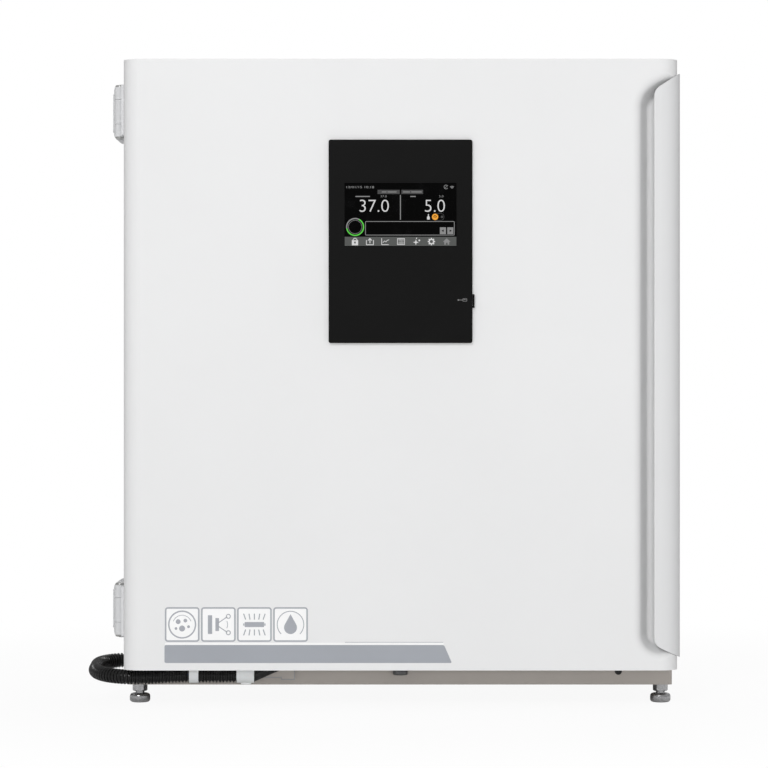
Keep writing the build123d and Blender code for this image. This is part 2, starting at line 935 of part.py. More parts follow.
def make_hinge_cover(level):
    """White cover over a cabinet leaf, with a raised rib on its side."""
    low = level - hinge_cover_height / 2
    high = level + hinge_cover_height / 2
    side = -half_width
    outer = side - hinge_cover_width
    start = hinge_y + hinge_radius + running_gap
    end = start + hinge_cover_length
    cover = block(outer, side, start, end, low, high)
    cover = fillet(cover.edges().filter_by(Axis.Y).sort_by(Axis.X)[:2], hinge_cover_corner)
    cover = fillet(cover.faces().sort_by(Axis.Y)[-1].edges().sort_by(Axis.X)[:5], hinge_cover_edge)
    rib = block(
        outer - hinge_cover_rib,
        outer + past,
        start + hinge_cover_rib_inset,
        end - hinge_cover_rib_inset,
        low + hinge_cover_rib_drop,
        high - hinge_cover_rib_drop,
    )
    cover += fillet(rib.edges().filter_by(Axis.X), hinge_cover_rib_corner)
    wall = hinge_cover_wall
    low_slot = low + (hinge_cover_height - hinge_height) / 2 - running_gap
    high_slot = high - (hinge_cover_height - hinge_height) / 2 + running_gap
    slot_x = side - leaf_thickness - running_gap
    cover -= block(outer + wall, side + past, start + wall, end - wall, low_slot, high_slot)
    return cover - block(slot_x, side + past, start - past, start + wall + past, low_slot, high_slot)


def make_display_housing():
    """Black display housing on the door, with screen pocket and side port."""
    half = display_half
    housing = block(-half, half, display_front, door_front, display_bottom, display_top)
    housing = fillet(housing.edges().filter_by(Axis.Y), display_corner)
    housing = chamfer(housing.faces().sort_by(Axis.Y)[0].edges(), display_edge)
    housing -= block(
        -screen_width / 2 - screen_gap,
        screen_width / 2 + screen_gap,
        display_front - past,
        display_front + screen_depth,
        screen_bottom - screen_gap,
        screen_bottom + screen_height + screen_gap,
    )
    middle = port_bottom + flap_height / 2 + flap_corner
    low, high = middle - port_pocket_height / 2, middle + port_pocket_height / 2
    housing -= block(
        half - port_pocket_depth, half + past, display_front + past, door_front - past, low, high
    )
    tongue_back = door_front - port_tongue_setback
    housing += block(
        half - port_pocket_depth,
        half - past,
        tongue_back - port_tongue_thickness,
        tongue_back,
        middle - port_tongue_width / 2,
        middle + port_tongue_width / 2,
    )
    lug_front = display_front + flap_lug_margin
    lug_back = door_front - flap_lug_margin_rear
    for y0 in (lug_front, lug_back - flap_lug):
        housing += block(
            half - past, half + flap_thickness, y0, y0 + flap_lug, port_bottom, port_bottom + flap_thickness
        )
    pin_start, pin_end = lug_front + flap_lug / 2, lug_back - flap_lug / 2
    return housing + rod_y(flap_axis_x, pin_start, pin_end, flap_axis_z, flap_pin_radius)


def make_display_screen():
    """Touch panel that lies in the housing's pocket."""
    return block(
        -screen_width / 2,
        screen_width / 2,
        display_front + screen_sunk,
        display_front + screen_depth,
        screen_bottom,
        screen_bottom + screen_height,
    )


def make_port_flap():
    """Small flap over the side port, hinged at its lower edge."""
    side = display_half + flap_gap
    outer = display_half + flap_thickness
    lug_front = display_front + flap_lug_margin
    lug_back = door_front - flap_lug_margin_rear
    flap = block(
        side, outer, lug_front, lug_back, flap_axis_z + flap_foot, port_bottom + flap_height
    )
    flap = fillet(flap.edges().filter_by(Axis.Y).sort_by(Axis.X)[-2:], flap_corner)
    y0, y1 = lug_front + flap_lug + flap_gap, lug_back - flap_lug - flap_gap
    flap += block(
        side + running_gap, outer - running_gap, y0, y1, flap_axis_z, flap_axis_z + flap_foot + past
    )
    flap += rod_y(flap_axis_x, y0, y1, flap_axis_z, flap_thickness / 2 - running_gap / 4)
    bore = flap_pin_radius + bearing_clearance
    return flap - rod_y(flap_axis_x, y0 - past, y1 + past, flap_axis_z, bore)


def conduit_corners():
    """The conduit's route from the cabinet's side, round the loop and under the door."""
    return [
        (-half_width + plinth_wall, conduit_rear_y, conduit_rear_z),
        (conduit_loop_x, conduit_rear_y, conduit_rear_z),
        (conduit_loop_x, conduit_y, conduit_z),
        (conduit_loop_x + conduit_front_bend + conduit_lead, conduit_y, conduit_z),
    ]


def make_conduit_fixed():
    """The loop at the cabinet's corner, which stays with the cabinet."""
    corners = conduit_corners()
    route = FilletPolyline(*corners, radius=[conduit_rear_bend, conduit_front_bend])
    plane = Plane(origin=corners[0], x_dir=(0, 1, 0), z_dir=(-1, 0, 0))
    print("conduit loop: bends", conduit_rear_bend, conduit_front_bend, "length", route.length)
    return sweep(plane * Circle(conduit_radius), path=route)


def make_conduit_run(x0, x1):
    """A straight stretch of the conduit under the door."""
    return rod_x(x0, x1, conduit_y, conduit_z, conduit_radius)


def make_conduit_sleeve():
    """Black sleeve that leads the wires up into the door's underside."""
    start = Plane(origin=(conduit_end, conduit_y, conduit_z), x_dir=(0, 1, 0), z_dir=(1, 0, 0))
    rise = door_bottom + sleeve_rise
    end = Plane(origin=(sleeve_end, conduit_y, rise), x_dir=(0, 1, 0), z_dir=(1, 0, 0))
    sleeve = loft([start * Circle(conduit_radius), end * Circle(conduit_radius * sleeve_end_share)])
    return sleeve & block(conduit_end, sleeve_end, door_front, door_back, 0, door_bottom)


def make_conduit_clips():
    """Two nylon clips that hang the conduit under the door."""
    clips = []
    for near, far in (clip_near_hinge, clip_near_sleeve):
        x0, x1 = near - half_width, far - half_width
        clip = rod_x(x0, x1, conduit_y, conduit_z, conduit_radius + clip_wall)
        clip += block(
            x0, x1, conduit_y - clip_tab / 2, conduit_y + clip_tab / 2, conduit_z, door_bottom
        )
        clips.append(clip - rod_x(x0 - past, x1 + past, conduit_y, conduit_z, conduit_radius))
    return Compound(clips)


def make_conduit_gland():
    """Cable gland in the plinth's side, round the conduit."""
    side = -half_width
    face = side - gland_flange_thickness
    gland = rod_x(face, side, conduit_rear_y, conduit_rear_z, conduit_radius + gland_flange)
    plane = Plane(origin=(face, conduit_rear_y, conduit_rear_z), x_dir=(0, 1, 0), z_dir=(-1, 0, 0))
    nut = RegularPolygon(conduit_radius + gland_nut, 6, major_radius=False)
    gland += extrude(plane * nut, gland_nut_height)
    gland += rod_x(
        side, side + plinth_wall, conduit_rear_y, conduit_rear_z, conduit_radius + clip_wall
    )
    bore_start = face - gland_nut_height - past
    return gland - rod_x(
        bore_start, side + plinth_wall + past, conduit_rear_y, conduit_rear_z, conduit_radius
    )


def make_glass_pane():
    """Tempered glass pane of the inner door, with a hole for the latch spindle."""
    pane = block(
        -pane_half,
        pane_half,
        pane_front,
        pane_back,
        chamber_bottom - pane_margin,
        chamber_top + pane_margin,
    )
    pane = fillet(pane.edges().filter_by(Axis.Y), pane_corner)
    hole = latch_spindle_radius + latch_spindle_gap
    return pane - rod_y(latch_x, pane_front - past, pane_back + past, latch_level, hole)


def glass_axis():
    """The inner door's hinge axis, in X and Y."""
    return -pane_half - glass_hinge_out, pane_front - glass_hinge_setback


def make_glass_hinge_brackets():
    """Brackets in the mouth frame's recess, with end knuckles and a fixed pin."""
    x, y = glass_axis()
    wall = -frame_half + mouth_lip
    brackets = []
    for level in glass_hinge_levels:
        low, high = level - glass_hinge_height / 2, level + glass_hinge_height / 2
        end = glass_hinge_height / 4
        bracket = block(
            wall, wall + bracket_sheet, y - glass_hinge_radius, y + bracket_reach, low, high
        )
        for z0, z1 in ((low, low + end), (high - end, high)):
            bracket += rod_z(x, y, z0, z1, glass_hinge_radius)
            bracket += block(wall, x, y - bracket_web_front, y + bracket_web_back, z0, z1)
        bracket += rod_z(x, y, low, high, glass_pin_radius)
        brackets.append(bracket)
    return Compound(brackets)


def make_glass_hinge_clamps():
    """Clamps on the glass pane, each with the middle knuckle."""
    x, y = glass_axis()
    reach = glass_hinge_height / 4 - running_gap
    face = pane_front - clamp_sheet
    near = -pane_half + clamp_inset
    clamps = []
    for level in glass_hinge_levels:
        low, high = level - reach, level + reach
        plate = block(
            near, near + clamp_length, face, pane_front, low - clamp_overlap, high + clamp_overlap
        )
        plate = fillet(plate.edges().filter_by(Axis.Y), clamp_corner)
        arm = block(x, near + clamp_inset, face, pane_front - seal_clearance, low, high)
        clamp = plate + arm + rod_z(x, y, low, high, glass_hinge_radius)
        bore = glass_pin_radius + bearing_clearance
        clamps.append(clamp - rod_z(x, y, low - past, high + past, bore))
    return Compound(clamps)


def make_glass_latch():
    """Turn latch: knob, lever in front of the pane, spindle and rear nut."""
    x, z = latch_x, latch_level
    nut_back = pane_back + latch_nut
    latch = rod_y(x, pane_front - latch_lever_thickness, nut_back, z, latch_spindle_radius)
    latch += rod_y(x, pane_back, nut_back, z, latch_spindle_radius + latch_nut)
    half = latch_lever_width / 2
    lever = block(x - half, x + half, pane_front - latch_lever_thickness, pane_front, z - latch_lever, z)
    latch += fillet(lever.edges().filter_by(Axis.Y).sort_by(Axis.Z)[:2], latch_lever_corner)
    knob_back = pane_front - latch_lever_thickness + seal_clearance
    latch += rod_y(x, pane_front - latch_knob_height, knob_back, z, latch_knob_radius)
    grip = block(
        x - latch_grip_width / 2,
        x + latch_grip_width / 2,
        pane_front - latch_grip_height,
        pane_front - latch_knob_height + past,
        z - latch_grip_length / 2,
        z + latch_grip_length / 2,
    )
    return latch + fillet(grip.edges().filter_by(Axis.Z), min(latch_grip_corner, latch_grip_width / 3))


def make_latch_catch():
    """Keeper in the mouth frame's recess that the latch lever turns behind."""
    wall = frame_half - mouth_lip
    inner = pane_front - latch_lever_thickness - running_gap
    low, high = latch_level - catch_height / 2, latch_level + catch_height / 2
    base = block(wall - catch_base, wall, inner - catch_sheet, pane_seat - catch_base, low, high)
    finger = block(wall - catch_reach, wall, inner - catch_sheet, inner, low, high)
    return base + fillet(finger.edges().filter_by(Axis.Y).sort_by(Axis.X)[:2], catch_corner)


def make_shelf_rail(side):
    """Side frame of two posts and a ledge for each shelf level."""

    def strip(near, far, y0, y1, z0, z1):
        """A strip between two distances from the chamber's wall."""
        xs = sorted((side * (chamber_half - near), side * (chamber_half - far)))
        return block(xs[0], xs[1], y0, y1, z0, z1)

    low = chamber_bottom + chamber_corner + rail_end_gap
    high = chamber_top - chamber_corner - rail_end_gap
    rail = None
    for y in (tray_front + rail_post_inset, tray_back - rail_post_inset):
        post = strip(0, rail_sheet, y, y + rail_post, low, high)
        rail = post if rail is None else rail + post
    lip = rail_sheet + rail_wall
    for level in shelf_levels:
        under = level - rail_wall
        rail += strip(rail_sheet, lip, tray_front, tray_back, under, level + rail_lip)
        rail += strip(rail_sheet, rail_sheet + rail_ledge, tray_front, tray_back, under, level)
    return rail


def make_shelf_tray(level):
    """Stainless tray with a folded rim and rows of slots."""
    tray = block(-tray_half, tray_half, tray_front, tray_back, level, level + tray_rim)
    tray -= block(
        -tray_half + tray_sheet,
        tray_half - tray_sheet,
        tray_front + tray_sheet,
        tray_back - tray_sheet,
        level + tray_sheet,
        level + tray_rim + past,
    )
    step_x = (2 * tray_half - 2 * tray_slot_margin) / tray_columns
    step_y = (tray_back - tray_front - 2 * tray_slot_margin) / tray_rows
    slot = Box(tray_slot_width, tray_slot_depth, 2 * tray_sheet + past)
    slots = [
        Pos((column + 0.5) * step_x, (row + 0.5) * step_y, 0) * slot
        for column in range(tray_columns)
        for row in range(tray_rows)
    ]
    start = Pos(tray_slot_margin - tray_half, tray_front + tray_slot_margin, level)
    return tray - start * Compound(slots)


def make_humidity_pan():
    """Shallow water pan on the chamber floor."""
    pan = block(-pan_half, pan_half, pan_front, pan_back, chamber_bottom, pan_top)
    pan = fillet(pan.edges().filter_by(Axis.Z), pan_corner)
    hollow = block(
        -pan_half + pan_sheet,
        pan_half - pan_sheet,
        pan_front + pan_sheet,
        pan_back - pan_sheet,
        chamber_bottom + pan_sheet,
        pan_top + past,
    )
    return pan - fillet(hollow.edges().filter_by(Axis.Z), pan_corner - pan_sheet)


def make_humidity_pan_cover():
    """Flat lid over the pan's rear part, with a turned-down front lip."""
    start = pan_back - (pan_back - pan_front) * pan_cover_share
    lid = block(-pan_half, pan_half, start, pan_back, pan_top, pan_top + tray_sheet)
    inner = pan_half - pan_cover_lip_inset
    return lid + block(
        -inner, inner, start, start + tray_sheet, pan_top - pan_cover_lip, pan_top + tray_sheet
    )


def make_rear_duct():
    """Sheet duct on the chamber's back wall: inlet over the fan, outlet slots below."""
    half = duct_width / 2
    duct = block(-half, half, duct_front, chamber_back, duct_bottom, duct_top)
    duct = fillet(duct.edges().filter_by(Axis.Z).sort_by(Axis.Y)[:2], duct_corner)
    duct -= block(
        -half + duct_sheet,
        half - duct_sheet,
        duct_front + duct_sheet,
        chamber_back + past,
        duct_bottom + duct_sheet,
        duct_top - duct_sheet,
    )
    y0, y1 = duct_front - past, duct_front + duct_sheet + past
    reach = duct_inlet_share * fan_radius
    ray = block(-duct_inlet_width / 2, duct_inlet_width / 2, y0, y1, duct_inlet_start, reach)
    rays = [
        Pos(0, 0, fan_level) * Rot(0, 360 / duct_inlets * i, 0) * ray for i in range(duct_inlets)
    ]
    low = duct_bottom + duct_outlet_rise
    outlet = block(
        -duct_outlet_width / 2, duct_outlet_width / 2, y0, y1, low, low + duct_outlet_height
    )
    outlets = [
        Pos((i - (duct_outlets - 1) / 2) * duct_outlet_pitch, 0, 0) * outlet
        for i in range(duct_outlets)
    ]
    return duct - Compound(rays) - Compound(outlets)


def make_fan_impeller():
    """Backward-curved fan wheel with its hub on the motor shaft."""
    y0 = duct_front + fan_setback
    y1 = y0 + fan_depth
    wheel = rod_y(0, y1 - fan_plate, y1, fan_level, fan_radius)
    wheel += rod_y(0, y0 + fan_hub_setback, y1, fan_level, fan_hub_radius)
    half = fan_blade_thickness / 2
    blade = block(-half, half, y0, y1, fan_blade_inner, fan_radius - fan_blade_margin)
    leaning = Pos(fan_blade_offset, 0, 0) * Rot(0, fan_blade_angle, 0) * blade
    for i in range(fan_blades):
        wheel += Pos(0, 0, fan_level) * Rot(0, 360 / fan_blades * i, 0) * leaning
    shaft_end = bulkhead + sheet + fan_shaft_end
    return wheel + rod_y(0, y0 + fan_shaft_setback, shaft_end, fan_level, fan_shaft_radius)


def make_fan_motor():
    """Fan motor on the bulkhead, in the rear space."""
    start = bulkhead + sheet
    motor = rod_y(0, start, start + motor_length, fan_level, motor_radius)
    motor = fillet(motor.edges().filter_by(GeomType.CIRCLE).sort_by(Axis.Y)[-1], motor_edge)
    motor += block(
        -motor_radius - motor_ear,
        motor_radius + motor_ear,
        start,
        start + motor_ear_thickness,
        fan_level - motor_ear_height / 2,
        fan_level + motor_ear_height / 2,
    )
    return motor - rod_y(0, start - past, start + motor_bore_depth, fan_level, shaft_bore)


def make_uv_lamp():
    """Ultraviolet tube inside the duct."""
    return rod_x(-lamp_length / 2, lamp_length / 2, lamp_y, lamp_level, lamp_radius)


def make_uv_lamp_holders():
    """Two end holders that carry the lamp on the chamber's back wall."""
    holders = []
    for side in (-1, 1):
        x = side * lamp_length / 2
        holder = block(
            x - lamp_holder_length / 2,
            x + lamp_holder_length / 2,
            lamp_y - lamp_holder_front,
            chamber_back,
            lamp_level - lamp_holder_height / 2,
            lamp_level + lamp_holder_height / 2,
        )
        holder = fillet(holder.edges().filter_by(Axis.X), lamp_holder_corner)
        inner = x - side * lamp_holder_bore
        bore = rod_x(min(x, inner), max(x, inner), lamp_y, lamp_level, lamp_radius)
        holders.append(holder - bore)
    return Compound(holders)


def make_gas_sensor():
    """Infrared gas sensor head on the chamber's back wall."""
    x, z = gas_sensor_at
    start = chamber_back - gas_sensor_length
    head = rod_y(x, start, chamber_back, z, gas_sensor_radius)
    head = fillet(head.edges().filter_by(GeomType.CIRCLE).sort_by(Axis.Y)[0], gas_sensor_edge)
    for i in range(gas_sensor_grooves):
        y0 = start + gas_sensor_groove_start + gas_sensor_groove_pitch * i
        y1 = y0 + gas_sensor_groove
        core = rod_y(x, y0, y1, z, gas_sensor_radius - gas_sensor_groove_depth)
        head -= rod_y(x, y0, y1, z, gas_sensor_radius + past) - core
    flange = chamber_back - gas_sensor_flange_thickness
    return head + rod_y(x, flange, chamber_back, z, gas_sensor_radius + gas_sensor_flange)


def make_temperature_probe():
    """Thin temperature probe with a hexagonal fitting on the back wall."""
    x, z = probe_at
    probe = rod_y(x, chamber_back - probe_length, chamber_back, z, probe_radius)
    probe = fillet(probe.edges().filter_by(GeomType.CIRCLE).sort_by(Axis.Y)[0], probe_tip)
    return probe + hexagon_y(x, chamber_back, z, probe_nut, probe_nut_height)


def make_port_tube():
    """Access port: a sleeve through the back with a flange outside."""
    x, z = port_at
    flange_back = cover_back + port_flange_thickness
    tube = rod_y(x, chamber_back - past, cover_back, z, port_bore)
    tube += rod_y(x, cover_back, flange_back, z, port_flange)
    return tube - rod_y(x, chamber_back - 2 * past, flange_back + past, z, port_radius)


def make_port_plug(face, outwards):
    """Silicone plug with a round head, pushed into one end of the access port."""
    x, z = port_at
    ends = sorted((face, face - outwards * plug_length))
    body = rod_y(x, ends[0], ends[1], z, port_radius - plug_clearance)
    ends = sorted((face, face + outwards * plug_head))
    head = rod_y(x, ends[0], ends[1], z, port_bore)
    rims = head.edges().filter_by(GeomType.CIRCLE).sort_by(Axis.Y)
    return body + fillet(rims[-1] if outwards > 0 else rims[0], plug_edge)


def make_rear_cover():
    """Removable back sheet with louvres and openings for what is set in it."""
    edge = half_width - cover_margin
    low, high = cabinet_bottom + cover_margin, cabinet_top - cover_margin
    cover = block(-edge, edge, back, cover_back, low, high)
    cover = fillet(cover.edges().filter_by(Axis.Y), cabinet_corner)
    half = louvre_width / 2
    hood = block(-half, half, cover_back, cover_back + louvre_hood, 0, louvre_height)
    ridge = hood.faces().sort_by(Axis.Y)[-1].edges().filter_by(Axis.X).sort_by(Axis.Z)[-1]
    hood = chamfer(ridge, louvre_hood * 3 / 4)
    slot = block(
        -half + past, half - past, back - past, back + louvre_hood, -past, louvre_height - louvre_slot_drop
    )
    for column in (-1, 1):
        for i in range(louvre_count):
            place = Pos(column * louvre_out, 0, low + louvre_rise + louvre_pitch * i)
            cover = cover + place * hood - place * slot
    y0, y1 = back - past, cover_back + past
    cover -= rod_y(port_at[0], y0, y1, port_at[1], port_bore)
    for inset in barb_insets:
        cover -= rod_y(inset - half_width, y0, y1, service_level, barb_radius + cover_sill)
    for side in (-1, 1):
        x = side * (half_width - strap_hole_inset)
        cover -= rod_y(x, y0, y1, cabinet_top - strap_hole_drop, strap_hole_radius)
    return cover - inlet_body(y0, y1)


def inlet_body(y0, y1):
    """The inlet module's body, where it passes through the rear cover."""
    half_x = inlet_width / 2 - cover_sill
    half_z = inlet_height / 2 - cover_sill
    return block(
        inlet_x - half_x, inlet_x + half_x, y0, y1, service_level - half_z, service_level + half_z
    )


def make_power_inlet():
    """Appliance inlet with three contacts, beside the pocket of the mains switch."""
    x, z, face = inlet_x, service_level, inlet_face
    half_x, half_z = inlet_width / 2, inlet_height / 2
    module = block(x - half_x, x + half_x, cover_back, face, z - half_z, z + half_z)
    module = fillet(module.edges().filter_by(Axis.Y), inlet_corner)
    module += inlet_body(back - inlet_body_depth, cover_back)
    middle = x - socket_offset
    half_x, half_z = socket_width / 2, socket_height / 2
    floor = face - socket_depth
    socket = block(middle - half_x, middle + half_x, floor, face + past, z - half_z, z + half_z)
    module -= chamfer(socket.edges().filter_by(Axis.Y).sort_by(Axis.Z)[-2:], socket_chamfer)
    contact = block(
        -contact_width / 2,
        contact_width / 2,
        floor - past,
        face - contact_tip,
        -contact_height / 2,
        contact_height / 2,
    )
    for step, lift in ((-1, -1), (1, -1), (0, 1)):
        module += Pos(middle + step * contact_pitch, 0, z + lift * contact_rise) * contact
    half_x, half_z = switch_width / 2 + switch_gap, switch_height / 2 + switch_gap
    switch_x = x + switch_offset
    return module - block(
        switch_x - half_x, switch_x + half_x, face - switch_pocket, face + past, z - half_z, z + half_z
    )


def make_power_switch():
    """Mains rocker, lying tilted to one side in its pocket."""
    x, z, face = inlet_x + switch_offset, service_level, inlet_face
    half_x, half_z = switch_width / 2, switch_height / 2 - switch_margin
    rocker = block(x - half_x, x + half_x, face - switch_depth, face + switch_proud, z - half_z, z + half_z)
    crown_y = face + switch_crown_radius + switch_crown_floor
    rocker -= Pos(x, crown_y, z) * Rot(0, 90, 0) * Cylinder(switch_crown_radius, 2 * switch_width)
    rocker += rod_x(x - half_x, x + half_x, face - switch_depth, z, switch_pivot_radius)
    pivot = Pos(x, face - switch_depth, z)
    return pivot * Rot(-switch_tilt, 0, 0) * pivot.inverse() * rocker


def make_gas_barbs():
    """Two hose spigots for gas supply, each with a hexagonal base and a bead."""
    spigots = []
    face, z = cover_back, service_level
    for inset in barb_insets:
        x = inset - half_width
        spigot = hexagon_y(x, face, z, barb_base, barb_base_height, 1)
        spigot += rod_y(x, back - barb_neck_depth, face, z, barb_radius + barb_neck)
        tip = face + barb_base_height + barb_length
        spigot += rod_y(x, face + barb_base_height - past, tip, z, barb_radius)
        bead = face + barb_bead_start
        spigot += rod_y(x, bead, bead + barb_bead_width, z, barb_radius + barb_bead)
        bore = barb_radius - barb_wall
        spigots.append(spigot - rod_y(x, back - barb_neck_depth - past, tip + past, z, bore))
    return Compound(spigots)


def make_alarm_terminals():
    """Screw terminal block for a remote alarm."""
    x, z, face = terminal_x, service_level, cover_back
    half = terminal_ways * terminal_pitch / 2 + terminal_end
    half_z = terminal_height / 2
    body = block(x - half, x + half, face, face + terminal_depth, z - half_z, z + half_z)
    body = fillet(body.faces().sort_by(Axis.Y)[-1].edges(), terminal_edge)
    screw_y = face + terminal_depth - terminal_screw_depth
    wire = terminal_wire_width / 2
    for i in range(terminal_ways):
        way = x + (i - (terminal_ways - 1) / 2) * terminal_pitch
        screw_z = z + terminal_screw_rise
        body -= rod_y(way, screw_y, face + terminal_depth + past, screw_z, terminal_screw_radius)
        body -= block(
            way - wire, way + wire, screw_y - 2 * wire, screw_y, z - half_z - past, z - half_z + 2 * wire - past
        )
    return body


def make_control_board():
    """Circuit board with components, on spacers in the rear space."""
    start = bulkhead + sheet
    x0, z0 = board_inset - half_width, cabinet_top - board_drop - board_height
    x1, z1 = x0 + board_width, z0 + board_height
    face = start + board_spacer + board_thickness
    board = block(x0, x1, start + board_spacer, face, z0, z1)
    inset = board_spacer_inset
    for x in (x0 + inset, x1 - inset):
        for z in (z0 + inset, z1 - inset):
            board += rod_y(x, start, start + board_spacer + board_thickness / 2, z, board_spacer_radius)
    for x, z, width, height, depth in zip(
        board_part_xs, board_part_zs, board_part_widths, board_part_heights, board_part_depths
    ):
        low = face - board_thickness / 2
        board += block(x0 + x, x0 + x + width, low, low + depth, z0 + z, z0 + z + height)
    return board


def make_gas_valve():
    """Solenoid valve that doses the gas, on the bulkhead behind the hose spigots."""
    start = bulkhead + sheet
    x = sum(barb_insets) / 2 - half_width
    z = service_level + valve_rise
    y = start + valve_depth / 2
    top = z + valve_height / 2
    valve = block(
        x - valve_width / 2, x + valve_width / 2, start, start + valve_depth, z - valve_height / 2, top
    )
    valve += rod_z(x, y, top, top + valve_coil_height, valve_coil_radius)
    return valve + rod_x(x - valve_port_length / 2, x + valve_port_length / 2, y, z, valve_port_radius)


def make_lock_housing():
    """Round housing of the door lock, on a foot that is screwed to the plinth."""
    top = strike_bottom - lock_gap - lock_collar
    low = top - lock_height
    housing = rod_z(0, lock_y, low, top, lock_radius)
    housing = chamfer(housing.edges().filter_by(GeomType.CIRCLE).sort_by(Axis.Z)[0], lock_chamfer)
    arm = lock_arm_width / 2
    housing += block(-arm, arm, lock_y, front, low + lock_arm_rise, top)
    foot = lock_foot_width / 2
    housing += block(-foot, foot, front - lock_foot_sheet, front, low - lock_arm_rise, top)
    return housing - rod_z(0, lock_y, low - past, top + past, bolt_radius + bolt_clearance)


def make_lock_bolt():
    """Steel bolt that rises into the strike when the door is locked."""
    top = strike_bottom - lock_gap
    bolt = rod_z(0, lock_y, top - bolt_length, top, bolt_radius)
    return chamfer(bolt.edges().filter_by(GeomType.CIRCLE).sort_by(Axis.Z)[-1], bolt_tip)


def make_door_strike():
    """Strike plate under the door."""
    half = strike_width / 2
    y0, y1 = lock_y - strike_depth / 2, lock_y + strike_depth / 2
    plate = block(-half, half, y0, y1, strike_bottom, door_bottom)
    plate = fillet(plate.edges().filter_by(Axis.Z), strike_corner)
    return plate - rod_z(0, lock_y, strike_bottom - past, door_bottom + past, strike_hole)


def make_parts():
    """Every sub-part by its name."""
    parts = {
        "cabinet_shell": make_cabinet_shell(),
        "cabinet_insulation": make_cabinet_insulation(),
        "mouth_frame": make_mouth_frame(),
        "chamber_liner": make_chamber_liner(),
        "chamber_gasket": make_chamber_gasket(),
        "base_plinth": make_base_plinth(),
        "foot_lock_nuts": make_foot_lock_nuts(),
        "shelf_rails": Compound([make_shelf_rail(-1), make_shelf_rail(1)]),
        "humidity_pan": make_humidity_pan(),
        "humidity_pan_cover": make_humidity_pan_cover(),
        "rear_duct": make_rear_duct(),
        "fan_motor": make_fan_motor(),
        "fan_impeller": make_fan_impeller(),
        "uv_lamp": make_uv_lamp(),
        "uv_lamp_holders": make_uv_lamp_holders(),
        "gas_sensor": make_gas_sensor(),
        "temperature_probe": make_temperature_probe(),
        "port_tube": make_port_tube(),
        "port_plug_outer": make_port_plug(cover_back + port_flange_thickness, 1),
        "port_plug_inner": make_port_plug(chamber_back - past, -1),
        "rear_cover": make_rear_cover(),
        "power_inlet": make_power_inlet(),
        "power_switch": make_power_switch(),
        "gas_barbs": make_gas_barbs(),
        "alarm_terminals": make_alarm_terminals(),
        "control_board": make_control_board(),
        "gas_valve": make_gas_valve(),
        "lock_housing": make_lock_housing(),
        "lock_bolt": make_lock_bolt(),
        "cabinet_hinge_leaves": make_cabinet_hinge_leaves(),
        "hinge_pins": make_hinge_pins(),
        "hinge_covers": Compound([make_hinge_cover(level) for level in hinge_levels]),
        "conduit_gland": make_conduit_gland(),
        "conduit_fixed": make_conduit_fixed(),
        "conduit_flex": make_conduit_run(conduit_corners()[-1][0], conduit_flex_end),
        "conduit_door": make_conduit_run(conduit_flex_end, conduit_end),
        "conduit_sleeve": make_conduit_sleeve(),
        "conduit_clips": make_conduit_clips(),
        "door_hinge_leaves": make_door_hinge_leaves(),
        "door_skin": make_door_skin(),
        "door_insulation": make_door_insulation(),
        "door_liner": make_door_liner(),
        "door_gasket": make_door_gasket(),
        "door_handle": make_door_handle(),
        "door_strike": make_door_strike(),
        "display_housing": make_display_housing(),
        "display_screen": make_display_screen(),
        "usb_cover": make_port_flap(),
        "glass_pane": make_glass_pane(),
        "glass_hinge_brackets": make_glass_hinge_brackets(),
        "glass_hinge_clamps": make_glass_hinge_clamps(),
        "glass_latch": make_glass_latch(),
        "latch_catch": make_latch_catch(),
    }
    names = ("front_left", "front_right", "rear_left", "rear_right")
    for name, (x, y) in zip(names, foot_places()):
        parts["foot_" + name] = make_foot(x, y)
    for i in range(tray_count):
        parts["shelf_tray_" + str(i + 1)] = make_shelf_tray(shelf_levels[i])
    return parts


os.makedirs("parts", exist_ok=True)
for name, shape in make_parts().items():
    export_step(shape, "parts/" + name + ".step")
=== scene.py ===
# %% [markdown]
# # A carbon dioxide incubator
# The solids of this cabinet come from CAD: body, doors, hinges, display housing, feet and all
# that is inside. This notebook dresses them. It sets the camera and the light of a product
# photograph, gives every surface its own finish, and models what CAD leaves to it: the
# corrugated conduit with its clips and sleeve, the printed marks on door and screen, rounded
# foot pads, the cup of the lock, threads, screws and small caps.

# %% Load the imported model
import json
import math

import bpy
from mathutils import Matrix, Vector


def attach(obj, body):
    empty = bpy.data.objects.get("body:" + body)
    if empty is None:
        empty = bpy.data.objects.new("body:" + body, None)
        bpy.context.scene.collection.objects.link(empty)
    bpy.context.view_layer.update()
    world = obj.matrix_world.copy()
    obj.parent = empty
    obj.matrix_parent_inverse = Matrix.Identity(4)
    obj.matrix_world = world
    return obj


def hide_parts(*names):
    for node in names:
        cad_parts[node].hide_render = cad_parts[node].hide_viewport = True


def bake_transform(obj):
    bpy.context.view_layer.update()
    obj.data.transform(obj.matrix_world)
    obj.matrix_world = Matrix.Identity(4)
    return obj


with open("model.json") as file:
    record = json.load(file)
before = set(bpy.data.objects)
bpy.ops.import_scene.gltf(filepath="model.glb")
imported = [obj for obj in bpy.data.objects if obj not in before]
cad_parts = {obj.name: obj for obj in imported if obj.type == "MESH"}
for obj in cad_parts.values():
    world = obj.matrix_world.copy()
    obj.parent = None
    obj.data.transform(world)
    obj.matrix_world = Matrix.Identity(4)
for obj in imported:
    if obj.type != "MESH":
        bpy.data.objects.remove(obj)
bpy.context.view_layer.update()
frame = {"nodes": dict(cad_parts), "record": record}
MM = 0.001

# %% [markdown]
# ## Camera
# A product photograph of a cabinet is taken from far away with a long lens, level with the
# middle of the cabinet, so its uprights stay parallel. A short lens close by would also fill
# the frame, but it would show the cabinet's sides. So the camera stands about four metres
# away, looks straight along +Y, and the lens is 138 mm.

